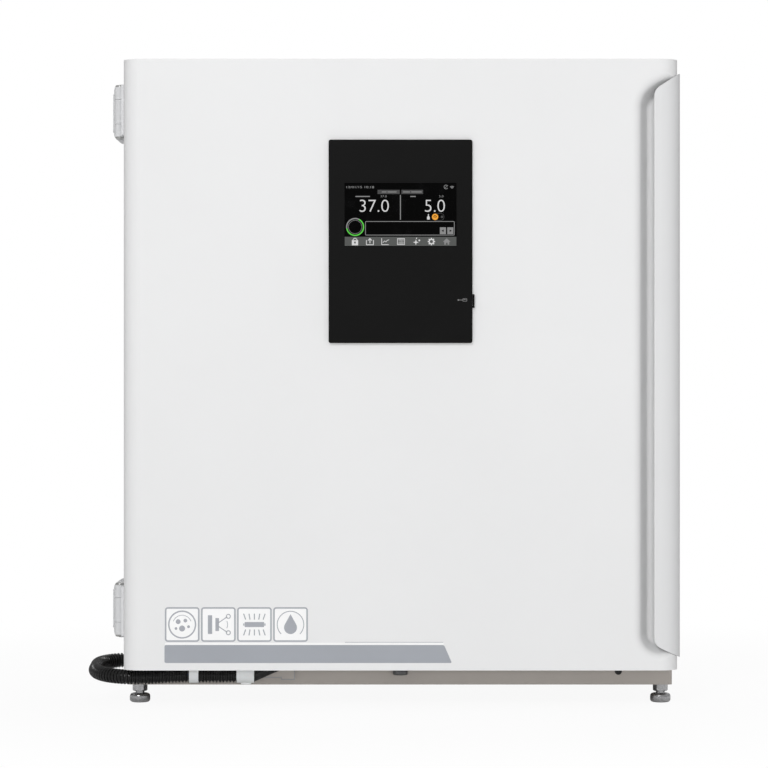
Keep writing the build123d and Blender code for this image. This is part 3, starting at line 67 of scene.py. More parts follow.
# %% Camera
LENS = 138.0
CAMERA_PLACE = (-0.023, -4.499, 0.452)
bpy.ops.object.camera_add(location=CAMERA_PLACE, rotation=(math.pi / 2, 0, 0))
camera = bpy.context.object
camera.name = "photo_camera"
camera.data.lens = LENS
camera.data.sensor_width = 36.0
camera.data.clip_end = 80.0
scene = bpy.context.scene
scene.camera = camera
scene.view_settings.view_transform = "Standard"
print("camera:", LENS, "mm at", CAMERA_PLACE)

# %% [markdown]
# ## Light
# The real studio is a white room: soft light from everywhere, a little stronger from the
# front left, which leaves a soft shadow right of the display and below it. One could light
# with lamps alone, but then the recesses go black. Here the world gives the even part and
# three area lamps give the direction. The front lamp stands where the screen would mirror it,
# so it is kept out of reflections. Rays that the camera sends out, also through glass, meet
# plain white, so the background stays white without more light on the cabinet.

# %% World and lamps
WORLD_LEVEL = 0.42
world = bpy.data.worlds.new("white_room")
scene.world = world
world.use_nodes = True
world_nodes, world_links = world.node_tree.nodes, world.node_tree.links
ambient = world_nodes["Background"]
ambient.inputs["Color"].default_value = (1.0, 1.0, 1.0, 1.0)
ambient.inputs["Strength"].default_value = WORLD_LEVEL
seen = world_nodes.new("ShaderNodeBackground")
seen.inputs["Color"].default_value = (1.0, 1.0, 1.0, 1.0)
rays = world_nodes.new("ShaderNodeLightPath")
either = world_nodes.new("ShaderNodeMath")
either.operation = "MAXIMUM"
choose = world_nodes.new("ShaderNodeMixShader")
world_links.new(rays.outputs["Is Camera Ray"], either.inputs[0])
world_links.new(rays.outputs["Is Transmission Ray"], either.inputs[1])
world_links.new(either.outputs[0], choose.inputs["Fac"])
world_links.new(ambient.outputs[0], choose.inputs[1])
world_links.new(seen.outputs[0], choose.inputs[2])
world_links.new(choose.outputs[0], world_nodes["World Output"].inputs["Surface"])

LAMPS = {
    "key_lamp": ((-3.6, -12.4, 7.2), 2.2, 560.0),
    "front_lamp": ((0.7, -9.5, 0.2), 3.5, 430.0),
    "rear_lamp": ((0.6, 3.6, 3.0), 2.4, 60.0),
}
TARGET = Vector((0.0, 0.0, 0.46))
for name, (place, size, power) in LAMPS.items():
    aim = (TARGET - Vector(place)).to_track_quat("-Z", "Y").to_euler()
    bpy.ops.object.light_add(type="AREA", location=place, rotation=aim)
    lamp = bpy.context.object
    lamp.name = name
    lamp.data.shape = "DISK"
    lamp.data.size = size
    lamp.data.energy = power
    lamp.visible_glossy = name != "front_lamp"
print("lamps:", list(LAMPS))

# %% [markdown]
# ## A small kit for finishes
# A finish is a node tree. Writing each node and link by hand is long, so a `Wire` stands for
# one socket and understands plus, minus, times and a few more, and a `Finish` makes any other
# node with one method. Then a bump or a stain reads like a formula.

# %% Wires
class Wire:
    """One output socket. Sums and products of wires add Math nodes."""

    def __init__(self, finish, socket):
        self.finish = finish
        self.socket = socket

    def math(self, operation, first, second):
        return self.finish.node("ShaderNodeMath", {"operation": operation}, {0: first, 1: second})

    def __add__(self, other):
        return self.math("ADD", self, other)

    def __sub__(self, other):
        return self.math("SUBTRACT", self, other)

    def __rsub__(self, other):
        return self.math("SUBTRACT", other, self)

    def __mul__(self, other):
        return self.math("MULTIPLY", self, other)

    def __pow__(self, other):
        return self.math("POWER", self, other)

    def __gt__(self, other):
        return self.math("GREATER_THAN", self, other)

    def __abs__(self):
        return self.finish.node("ShaderNodeMath", {"operation": "ABSOLUTE"}, {0: self})

    __radd__ = __add__
    __rmul__ = __mul__


# %% Finishes
class Finish:
    """A material round one Principled shader, with object coordinates at hand."""

    def __init__(self, name, colour, roughness, metallic=0.0, **constants):
        self.material = bpy.data.materials.new(name)
        self.material.use_nodes = True
        self.tree = self.material.node_tree
        self.shader = self.tree.nodes["Principled BSDF"]
        self.colour = colour
        self.set("Base Color", (*colour, 1.0))
        self.set("Roughness", roughness)
        self.set("Metallic", metallic)
        for key, value in constants.items():
            self.set(key.replace("_", " "), value)
        self.place = self.node("ShaderNodeTexCoord", {}, {}, "Object")

    def join(self, socket, value):
        if isinstance(value, Wire):
            self.tree.links.new(value.socket, socket)
        else:
            socket.default_value = value

    def set(self, name, value):
        self.join(self.shader.inputs[name], value)

    def node(self, kind, settings, inputs, output=0):
        made = self.tree.nodes.new(kind)
        for key, value in settings.items():
            setattr(made, key, value)
        for key, value in inputs.items():
            self.join(made.inputs[key], value)
        return Wire(self, made.outputs[output])

    def stretched(self, x, y, z):
        """Object coordinates with each axis multiplied by a number."""
        return self.node("ShaderNodeMapping", {}, {"Vector": self.place, "Scale": (x, y, z)})

    def noise(self, scale, detail=2.0, vector=None, distortion=0.0):
        links = {"Vector": vector or self.place, "Scale": scale, "Detail": detail}
        return self.node("ShaderNodeTexNoise", {}, {**links, "Distortion": distortion}, "Fac")

    def cells(self, scale):
        links = {"Vector": self.place, "Scale": scale}
        return self.node("ShaderNodeTexVoronoi", {}, links, "Distance")

    def axes(self):
        """X, Y and Z of the point on the object, in metres."""
        parts = self.node("ShaderNodeSeparateXYZ", {}, {0: self.place}).socket.node
        return [Wire(self, parts.outputs[i]) for i in range(3)]

    def ramp(self, value, low, high):
        """0 below low, 1 above high, and a soft rise between them."""
        links = {"Value": value, "From Min": low, "From Max": high}
        return self.node("ShaderNodeMapRange", {"interpolation_type": "SMOOTHSTEP"}, links)

    def mix(self, mask, first, second):
        """The first colour where the mask is 0, the second where it is 1."""
        pair = [c if isinstance(c, Wire) else (*c, 1.0) for c in (first, second)]
        links = {0: mask, 6: pair[0], 7: pair[1]}
        return self.node("ShaderNodeMix", {"data_type": "RGBA"}, links, 2)

    def shade(self, mask, amount):
        """The finish's own colour, darkened by a share of the mask."""
        dark = tuple(c * (1.0 - amount) for c in self.colour)
        return self.mix(mask, self.colour, dark)

    def bump(self, height, distance, strength=1.0):
        links = {"Height": height, "Distance": distance, "Strength": strength}
        self.set("Normal", self.node("ShaderNodeBump", {}, links, "Normal"))
        return self


# %% [markdown]
# ## Painted steel
# The body and the outer door are steel sheet with a baked powder coat. Close up, such a coat
# has a fine orange peel of one or two millimetres and a soft satin gloss that varies where
# hands wipe it. A plain white with one roughness looks like paper, so the peel goes into the
# bump and slow noise goes into tone and roughness.

# %% Powder coats
def powder_coat(name, colour, roughness=0.42):
    coat = Finish(name, colour, roughness, Coat_Weight=0.06, Coat_Roughness=0.35)
    wiped = coat.noise(9.0, 4.0)
    coat.set("Base Color", coat.shade(coat.ramp(coat.noise(3.5, 3.0), 0.35, 0.75), 0.018))
    coat.set("Roughness", roughness - 0.07 + 0.14 * wiped)
    return coat.bump(coat.noise(620.0, 2.0), 0.00006, 0.30)


finishes = {
    "white_paint": powder_coat("white_powder_coat", (0.790, 0.792, 0.796)),
    "door_paint": powder_coat("door_powder_coat", (0.790, 0.792, 0.795), 0.40),
    # The wing's coat is darker than the door's as painted shade for its curve turning from the
    # light; it is also smoother.
    "wing_painted_shade": powder_coat("wing_coat_painted_shade", (0.715, 0.718, 0.723), 0.34),
    # Hinges and their covers take a darker copy of the white paint: painted shade.
    "cover_painted_shade": powder_coat("hinge_cover_coat_painted_shade", (0.655, 0.660, 0.670), 0.44),
    "liner_paint": powder_coat("liner_coat", (0.74, 0.745, 0.755), 0.46),
    # The plinth's coat is painted shade: the door's shadow and its brownish cast over a light grey
    # paint.
    "plinth_painted_shade": powder_coat("plinth_coat_painted_shade", (0.430, 0.397, 0.366), 0.50),
}
print("coats:", [f.material.name for f in finishes.values()])

# %% [markdown]
# ## Metals
# The chamber, its shelves and ducts are brushed stainless steel: long fine lines that follow
# the sheet, so the gloss is stretched across them. Pins, screws and the valve are zinc-plated,
# which is duller and mottled. The feet are chromed and the lock is blackened, with the same
# mottling in another tone. All could be one grey metal, but the brushing tells the eye which
# is which.

# %% Brushed and plated metals
LONG, FINE = 14.0, 1900.0


def brushed(name, colour, roughness=0.30):
    metal = Finish(name, colour, roughness, 1.0)
    normal = metal.node("ShaderNodeNewGeometry", {}, {}, "Normal")
    facing = metal.node("ShaderNodeSeparateXYZ", {}, {0: normal}, 0)
    sideways = abs(facing) > 0.7
    along_x = metal.noise(1.0, 3.0, metal.stretched(LONG, FINE, FINE))
    along_y = metal.noise(1.0, 3.0, metal.stretched(FINE, LONG, FINE))
    lines = along_x * (1 - sideways) + along_y * sideways
    stains = metal.noise(7.0, 4.0)
    metal.set("Base Color", metal.shade(metal.ramp(lines * 0.7 + stains * 0.3, 0.3, 0.8), 0.16))
    metal.set("Roughness", roughness - 0.06 + 0.10 * lines + 0.06 * stains)
    return metal.bump(lines, 0.00003, 0.35)


def plated(name, colour, roughness=0.38):
    metal = Finish(name, colour, roughness, 1.0)
    spangle = metal.cells(420.0)
    scuffs = metal.noise(160.0, 4.0, distortion=0.6)
    metal.set("Base Color", metal.shade(metal.ramp(spangle + scuffs * 0.4, 0.3, 0.95), 0.20))
    metal.set("Roughness", roughness + 0.16 * (scuffs - 0.5))
    return metal.bump(scuffs, 0.00008, 0.35)


finishes["stainless"] = brushed("brushed_stainless", (0.60, 0.60, 0.61))
finishes["zinc_steel"] = plated("zinc_plate", (0.62, 0.62, 0.61))
finishes["brass"] = plated("turned_brass", (0.72, 0.52, 0.24), 0.28)
finishes["lock_steel"] = plated("blackened_steel", (0.20, 0.20, 0.20), 0.42)
finishes["foot_chrome"] = plated("dull_chrome", (0.60, 0.60, 0.61), 0.18)
print("finishes so far:", len(finishes))

# %% [markdown]
# ## Plastics, rubber and hose
# The display housing is black plastic with a fine eroded grain from its mould. Hose and seals
# are smoother and pick up dust. Nylon clips are milky. Each has its own grain size, which
# is what separates them under the same soft light.

# %% Moulded plastics
def moulded(name, colour, roughness, grain=1500.0, depth=0.00004, dust=0.0, **constants):
    plastic = Finish(name, colour, roughness, **constants)
    erosion = plastic.noise(grain, 3.0)
    haze = plastic.noise(12.0, 4.0)
    light = tuple(min(1.0, c + dust) for c in colour)
    plastic.set("Base Color", plastic.mix(plastic.ramp(haze, 0.4, 0.8), colour, light))
    plastic.set("Roughness", roughness - 0.05 + 0.12 * haze)
    return plastic.bump(erosion, depth, 0.5)


finishes["black_plastic"] = moulded(
    "eroded_black_plastic", (0.0036, 0.0036, 0.0036), 0.50, dust=0.0006, Specular_IOR_Level=0.12
)
finishes["black_hose"] = moulded(
    "conduit_plastic", (0.0045, 0.0045, 0.0045), 0.22, 700.0, dust=0.002, Specular_IOR_Level=0.5
)
finishes["frame_plastic"] = moulded("mouth_frame_plastic", (0.66, 0.67, 0.69), 0.45, 900.0)
finishes["grey_rubber"] = moulded("seal_rubber", (0.30, 0.31, 0.33), 0.62, 500.0, 0.00008, 0.02)
finishes["silicone"] = moulded(
    "plug_silicone", (0.74, 0.74, 0.71), 0.48, 400.0, Subsurface_Weight=0.15
)
finishes["white_nylon"] = moulded(
    "milky_nylon", (0.93, 0.93, 0.92), 0.42, 600.0, Subsurface_Weight=0.10
)
finishes["cap_rubber"] = moulded("cap_rubber", (0.016, 0.016, 0.016), 0.55, 800.0, dust=0.004)
print("finishes so far:", len(finishes))

# %% [markdown]
# ## Glass, foam and board
# Five materials are left. The inner door is tempered glass with a faint green edge and wiped
# smears. The screen is black glass with finger marks in its gloss. The ultraviolet lamp's
# tube is burnt dark at its ends. The foam between the walls has open cells. The circuit board
# has green mask with copper runs under it.

# %% Glass, foam and circuit board
PANE_EDGE = (0.331, 0.3355)
TUBE_END = (0.058, 0.075)
BOARD_FACE_Y = 0.2922


def clear_glass():
    glass = Finish("tempered_glass", (0.93, 0.975, 0.96), 0.02, Transmission_Weight=1.0, IOR=1.46)
    x, _, _ = glass.axes()
    rim = glass.ramp(abs(x), *PANE_EDGE)
    smears = glass.noise(11.0, 5.0, glass.stretched(1.0, 1.0, 0.35), 0.8)
    glass.set("Base Color", glass.mix(rim, glass.colour, (0.55, 0.80, 0.70)))
    glass.set("Roughness", 0.015 + 0.05 * glass.ramp(smears, 0.55, 0.8))
    return glass


def screen_glass():
    glass = Finish("screen_glass", (0.0012, 0.0012, 0.0012), 0.16, Specular_IOR_Level=0.06)
    touched = glass.ramp(glass.noise(38.0, 4.0, distortion=0.5), 0.5, 0.75)
    glass.set("Base Color", glass.mix(touched, (0.0008, 0.0008, 0.0008), (0.0022, 0.0022, 0.0024)))
    glass.set("Roughness", 0.14 + 0.12 * touched)
    return glass


def lamp_glass():
    tube = Finish("lamp_tube", (0.80, 0.82, 0.86), 0.12, Transmission_Weight=0.35)
    x, _, _ = tube.axes()
    burnt = tube.ramp(abs(x), *TUBE_END)
    streaks = tube.noise(60.0, 3.0)
    stained = burnt * (0.6 + 0.4 * streaks)
    tube.set("Base Color", tube.mix(stained, tube.colour, (0.24, 0.23, 0.25)))
    return tube


def foam():
    core = Finish("insulating_foam", (0.78, 0.70, 0.48), 0.9)
    pores = core.cells(420.0)
    core.set("Base Color", core.shade(1 - core.ramp(pores, 0.1, 0.6), 0.25))
    return core.bump(pores, 0.0006, 0.8)


def circuit_board():
    board = Finish("circuit_board", (0.03, 0.17, 0.07), 0.35)
    runs = board.node(
        "ShaderNodeTexBrick",
        {"offset": 0.37, "squash": 0.7},
        {"Vector": board.stretched(1.0, 0.0, 1.0), "Scale": 55.0, "Mortar Size": 0.06},
        "Fac",
    )
    _, y, _ = board.axes()
    mask = board.mix(runs, board.colour, (0.06, 0.30, 0.12))
    bodies = board.mix(board.noise(40.0), (0.02, 0.02, 0.02), (0.10, 0.10, 0.11))
    board.set("Base Color", board.mix(y > BOARD_FACE_Y, mask, bodies))
    return board.bump(runs, 0.0001, 0.4)


finishes["glass"] = clear_glass()
finishes["screen_glass"] = screen_glass()
finishes["lamp_glass"] = lamp_glass()
finishes["foam"] = foam()
finishes["circuit_board"] = circuit_board()
print("finishes in all:", len(finishes))

# %% [markdown]
# ## Finishes on the CAD pieces
# The record says which slot each CAD piece has. Most take the finish of their slot. A few
# need their own: the door's coat is a second batch, the wing is smoother where hands rub it
# and darker as painted shade, hinges and their covers are darker as painted shade, the plinth's
# coat is painted shade, and the lock nuts of the feet are chromed.

# %% Dress the CAD pieces
OWN_FINISH = {
    "door_skin": "door_paint",
    "door_handle": "wing_painted_shade",
    "base_plinth": "plinth_painted_shade",
    "hinge_covers": "cover_painted_shade",
    "cabinet_hinge_leaves": "cover_painted_shade",
    "door_hinge_leaves": "cover_painted_shade",
    "foot_lock_nuts": "foot_chrome",
}
for part in frame["record"]["subparts"]:
    node = frame["nodes"][part["node"]]
    finish = finishes[OWN_FINISH.get(part["node"], part["material_slot"])]
    if not node.material_slots:
        node.data.materials.append(finish.material)
    for slot in node.material_slots:
        slot.material = finish.material
print("dressed", len(frame["nodes"]), "pieces")

# %% [markdown]
# ## The floor
# The floor is a white sheet. It has to keep the soft shadow under the cabinet and yet meet
# the white background without a line. So near the cabinet the camera sees mostly the lit
# sheet, and further away it sees plain white.

# %% Floor
bpy.ops.mesh.primitive_plane_add(size=24.0, location=(0.0, 4.0, 0.0))
floor = bpy.context.object
floor.name = "floor"
bpy.ops.object.transform_apply(location=True, rotation=True, scale=True)
SHADOW_REACH = (0.55, 1.3)
sheet = Finish("white_floor", (0.90, 0.90, 0.90), 0.7)
sheet.set("Base Color", sheet.shade(sheet.noise(30.0, 3.0), 0.02))
x, y, _ = sheet.axes()
away = sheet.ramp((x * x + y * y) ** 0.5, *SHADOW_REACH)
camera_ray = sheet.node("ShaderNodeLightPath", {}, {}, "Is Camera Ray")
clear_ray = sheet.node("ShaderNodeLightPath", {}, {}, "Is Transmission Ray")
plain = sheet.node("ShaderNodeEmission", {}, {"Strength": 1.0})
lit = Wire(sheet, sheet.shader.outputs[0])
share = (camera_ray + clear_ray) * (0.93 + 0.07 * away)
covered = sheet.node("ShaderNodeMixShader", {}, {0: share, 1: lit, 2: plain})
sheet.join(sheet.tree.nodes["Material Output"].inputs["Surface"], covered)
floor.data.materials.append(sheet.material)

# %% [markdown]
# ## Working with operators
# New pieces start as a primitive at its place, as by hand. An operator acts on all that is
# selected, so each helper clears the selection first. A finished piece has its place in its
# mesh, so it moves with its body as the CAD pieces do. Sizes and places are written in
# millimetres, and `MM` turns them into metres.

# %% Selection helpers
def clear_selection():
    if bpy.context.object and bpy.context.object.mode != "OBJECT":
        bpy.ops.object.mode_set(mode="OBJECT")
    bpy.ops.object.select_all(action="DESELECT")


def pick(*objects):
    clear_selection()
    for item in objects:
        item.select_set(True)
    bpy.context.view_layer.objects.active = objects[0]


def apply_modifiers(item):
    pick(item)
    for modifier in list(item.modifiers):
        bpy.ops.object.modifier_apply(modifier=modifier.name)


def bake_place():
    """Write place, turn and scale of the selected object into its mesh."""
    bpy.ops.object.transform_apply(location=True, rotation=True, scale=True)


def finish_piece(item, name, finish, slot, body, *replaced, smooth=None):
    """Name a piece, give it a finish and put it on its body. Smooth is an angle in degrees."""
    pick(item)
    bake_place()
    if smooth:
        bpy.ops.object.shade_smooth_by_angle(angle=math.radians(smooth))
    item.name = name
    item.data.name = name
    item.data.materials.clear()
    item.data.materials.append(finish.material)
    if replaced:
        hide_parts(*replaced)
    if body:
        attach(item, body)
    print("made", name, "with", len(item.data.polygons), "faces")


clear_selection()

# %% Helpers for meshes
ALONG_X = (0, math.pi / 2, 0)
ALONG_Y = (math.pi / 2, 0, 0)


def start_edit():
    bpy.ops.object.mode_set(mode="EDIT")
    bpy.ops.mesh.select_all(action="SELECT")


def end_edit():
    """Turn all faces outward and go back to object mode."""
    bpy.ops.mesh.select_all(action="SELECT")
    bpy.ops.mesh.normals_make_consistent(inside=False)
    bpy.ops.object.mode_set(mode="OBJECT")


def pull(x, y, z):
    """Extrude the selected faces or edges along a way."""
    way = {"value": (x * MM, y * MM, z * MM)}
    bpy.ops.mesh.extrude_region_move(TRANSFORM_OT_translate=way)


def cylinder(radius, length, middle, turn=(0, 0, 0), corners=32, ends="NGON"):
    bpy.ops.mesh.primitive_cylinder_add(
        vertices=corners, radius=radius * MM, depth=length * MM, end_fill_type=ends,
        location=Vector(middle) * MM, rotation=turn,
    )
    return bpy.context.object


def block(size, middle, turn=(0, 0, 0)):
    bpy.ops.mesh.primitive_cube_add(size=1, location=Vector(middle) * MM, rotation=turn)
    bpy.context.object.scale = Vector(size) * MM
    return bpy.context.object


def round_edges(item, width, segments):
    """Bevel the sharp edges. The modifier waits to be applied."""
    rounding = item.modifiers.new("rounding", "BEVEL")
    rounding.width = width * MM
    rounding.segments = segments
    rounding.limit_method = "ANGLE"


def give_wall(item, thickness):
    """Make an open surface a closed wall that grows inward."""
    wall = item.modifiers.new("wall", "SOLIDIFY")
    wall.thickness = thickness * MM
    wall.offset = -1
    apply_modifiers(item)


def cut_away(item, cutter):
    """Take the cutter's form out of the item, and delete the cutter."""
    cut = item.modifiers.new("cut", "BOOLEAN")
    cut.operation = "DIFFERENCE"
    cut.object = cutter
    apply_modifiers(item)
    pick(cutter)
    bpy.ops.object.delete()


# %% [markdown]
# Two more forms come up again and again. A plate is drawn as an outline with its corners and
# extruded. A turned solid starts as a disc, is extruded up and is scaled at every step.

# %% Plates and turned solids
def upright_plate(points, front, thickness, rounding=0.0):
    """A plate in a plane of constant Y, from its corners (X, Z)."""
    bpy.ops.mesh.primitive_circle_add(vertices=len(points), radius=1, fill_type="NGON")
    plate = bpy.context.object
    for vertex, (x, z) in zip(plate.data.vertices, points):
        vertex.co = (x * MM, front * MM, z * MM)
    start_edit()
    if rounding:
        bpy.ops.mesh.bevel(offset=rounding * MM, segments=5, affect="VERTICES")
        bpy.ops.mesh.select_all(action="SELECT")
    pull(0, thickness, 0)
    end_edit()
    return plate


def turned(steps, place):
    """A turned solid about an upright axis, from pairs of radius and height."""
    radius, height = steps[0]
    x, y = place
    bpy.ops.mesh.primitive_circle_add(
        vertices=48, radius=radius * MM, fill_type="NGON", location=Vector((x, y, height)) * MM
    )
    start_edit()
    for wanted, level in steps[1:]:
        pull(0, 0, level - height)
        bpy.ops.transform.resize(value=(wanted / radius, wanted / radius, 1))
        radius, height = wanted, level
    end_edit()
    return bpy.context.object


# %% [markdown]
# ## The corrugated conduit
# A black conduit carries the door's wires. It leaves the cabinet's left side, turns in a loop
# round the hinge and runs along the underside of the door. It is blown plastic tube with a
# rib every five millimetres. A smooth tube with a striped bump would look flat at its edge,
# where the ribs show best. So one rib is modelled, repeated by an Array and led along a curve.

# %% The conduit's route
GLAND_Y, GLAND_Z = -215.0, 50.5
RUN_Y, RUN_Z = -345.0, 41.4
LOOP_LEFT = -435.0
ROUTE = (
    ((-382.0, GLAND_Y, GLAND_Z), (0.0, 0.0, 0.0), (-4.0, 0.0, 0.0)),
    ((-393.0, GLAND_Y, GLAND_Z), (4.0, 0.0, 0.0), (-23.2, 0.0, 0.0)),
    ((LOOP_LEFT, -256.8, 46.7), (0.0, 23.1, 2.1), (0.0, -9.0, -0.8)),
    ((LOOP_LEFT, -283.3, 44.2), (0.0, 9.0, 0.8), (0.0, -34.1, -3.1)),
    ((-373.0, RUN_Y, 38.6), (-34.2, 0.0, 0.0), (26.0, 0.0, 0.0)),
    ((-302.0, RUN_Y, RUN_Z), (-26.0, 0.0, 0.0), (30.0, 0.0, 0.0)),
    ((-206.0, RUN_Y, RUN_Z), (-30.0, 0.0, 0.0), (0.0, 0.0, 0.0)),
)

bpy.ops.curve.primitive_bezier_curve_add(location=(0, 0, 0))
route = bpy.context.object
route.name = "conduit_route"
spline = route.data.splines[0]
spline.bezier_points.add(len(ROUTE) - len(spline.bezier_points))
for point, (place, before, after) in zip(spline.bezier_points, ROUTE):
    point.handle_left_type = point.handle_right_type = "FREE"
    point.co = Vector(place) * MM
    point.handle_left = (Vector(place) + Vector(before)) * MM
    point.handle_right = (Vector(place) + Vector(after)) * MM
spline.resolution_u = 20
route.data.dimensions = "3D"
route_length = spline.calc_length()
print("route:", round(route_length * 1000), "mm")

# %% One rib
GROOVE_RADIUS, RIB_RADIUS = 8.4, 10.6
RIB_STEPS = ((1.4, 8.5), (1.9, 10.2), (2.3, RIB_RADIUS), (3.5, RIB_RADIUS), (3.9, 10.2))
RIB_STEPS += ((4.4, 8.5), (4.8, GROOVE_RADIUS))

bpy.ops.mesh.primitive_circle_add(vertices=28, radius=GROOVE_RADIUS * MM, rotation=ALONG_X)
conduit = bpy.context.object
bake_place()
start_edit()
reached, radius = 0.0, GROOVE_RADIUS
for offset, wanted in RIB_STEPS:
    pull(offset - reached, 0, 0)
    bpy.ops.transform.resize(value=(1, wanted / radius, wanted / radius))
    reached, radius = offset, wanted
bpy.ops.object.mode_set(mode="OBJECT")
print("one rib:", reached, "mm long")

# %% Ribs along the route
rib_pitch = RIB_STEPS[-1][0] * MM
ribs = conduit.modifiers.new("ribs", "ARRAY")
ribs.use_relative_offset = False
ribs.use_constant_offset = True
ribs.constant_offset_displace = (rib_pitch, 0, 0)
ribs.count = int(route_length / rib_pitch)
ribs.use_merge_vertices = True
ribs.merge_threshold = 0.02 * MM
led = conduit.modifiers.new("led", "CURVE")
led.object = route
led.deform_axis = "POS_X"
apply_modifiers(conduit)
pick(route)
bpy.ops.object.delete()
pick(conduit)
start_edit()
bpy.ops.mesh.remove_doubles(threshold=0.01 * MM)
bpy.ops.mesh.select_all(action="DESELECT")
bpy.ops.mesh.select_non_manifold()
bpy.ops.mesh.edge_face_add()
end_edit()
finish_piece(
    conduit, "ribbed_conduit", finishes["black_hose"], "black_hose", None,
    "conduit_fixed", "conduit_flex", "conduit_door", smooth=40,
)
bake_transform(conduit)

# %% [markdown]
# The conduit hangs close under the door, a little higher than its plain stand-in. So its two
# clips and the sleeve at its end are made here too, round the same middle line. A clip is an
# open nylon ring, and the wider one has a small foot. The sleeve is a tapered tube that
# leads up into the door, and it is cut off at the door's underside.

# %% Clips
CLIPS = ((-297.6, -284.4), (-230.6, -205.9))
CLIP_RADIUS, CLIP_WALL = 11.3, 0.6
CLIP_FOOT, CLIP_FOOT_MIDDLE = (14.4, 9.0, 2.6), (-217.6, RUN_Y, 30.0)
rings = []
for left, right in CLIPS:
    middle = ((left + right) / 2, RUN_Y, RUN_Z)
    rings.append(cylinder(CLIP_RADIUS, right - left, middle, ALONG_X, 40, "NOTHING"))
    bake_place()
    give_wall(rings[-1], CLIP_WALL)
clip_foot = block(CLIP_FOOT, CLIP_FOOT_MIDDLE)
bake_place()
round_edges(clip_foot, 0.8, 3)
apply_modifiers(clip_foot)
pick(*rings, clip_foot)
bpy.ops.object.join()
finish_piece(
    rings[0], "nylon_clips", finishes["white_nylon"], "white_nylon", "outer_door",
    "conduit_clips", smooth=35,
)

# %% Sleeve
SLEEVE_LEFT, SLEEVE_RADIUS, SLEEVE_TAPER = -206.2, 9.5, 0.8
SLEEVE_WAY = (44.0, 0.0, 17.5)
DOOR_BOTTOM = 53.0
bpy.ops.mesh.primitive_circle_add(
    vertices=40, radius=SLEEVE_RADIUS * MM, fill_type="NGON",
    location=Vector((SLEEVE_LEFT, RUN_Y, RUN_Z)) * MM, rotation=ALONG_X,
)
sleeve = bpy.context.object
bake_place()
start_edit()
pull(*SLEEVE_WAY)
bpy.ops.transform.resize(value=(1, SLEEVE_TAPER, SLEEVE_TAPER))
bpy.ops.mesh.select_all(action="SELECT")
bpy.ops.mesh.bisect(
    plane_co=(0, 0, DOOR_BOTTOM * MM), plane_no=(0, 0, 1), use_fill=True, clear_outer=True
)
end_edit()
finish_piece(
    sleeve, "wire_sleeve", finishes["black_hose"], "black_hose", "outer_door",
    "conduit_sleeve", smooth=35,
)

# %% [markdown]
# ## Printed marks
# The door carries printed films and the screen shows its picture. An image texture would do,
# but flat pieces stay sharp at any distance and need no file. Each mark is a thin plate: a
# bar, a disc, a ring or a figure, placed in millimetres from a corner of its panel. Marks of
# one colour are joined into one piece and get a film's thickness.

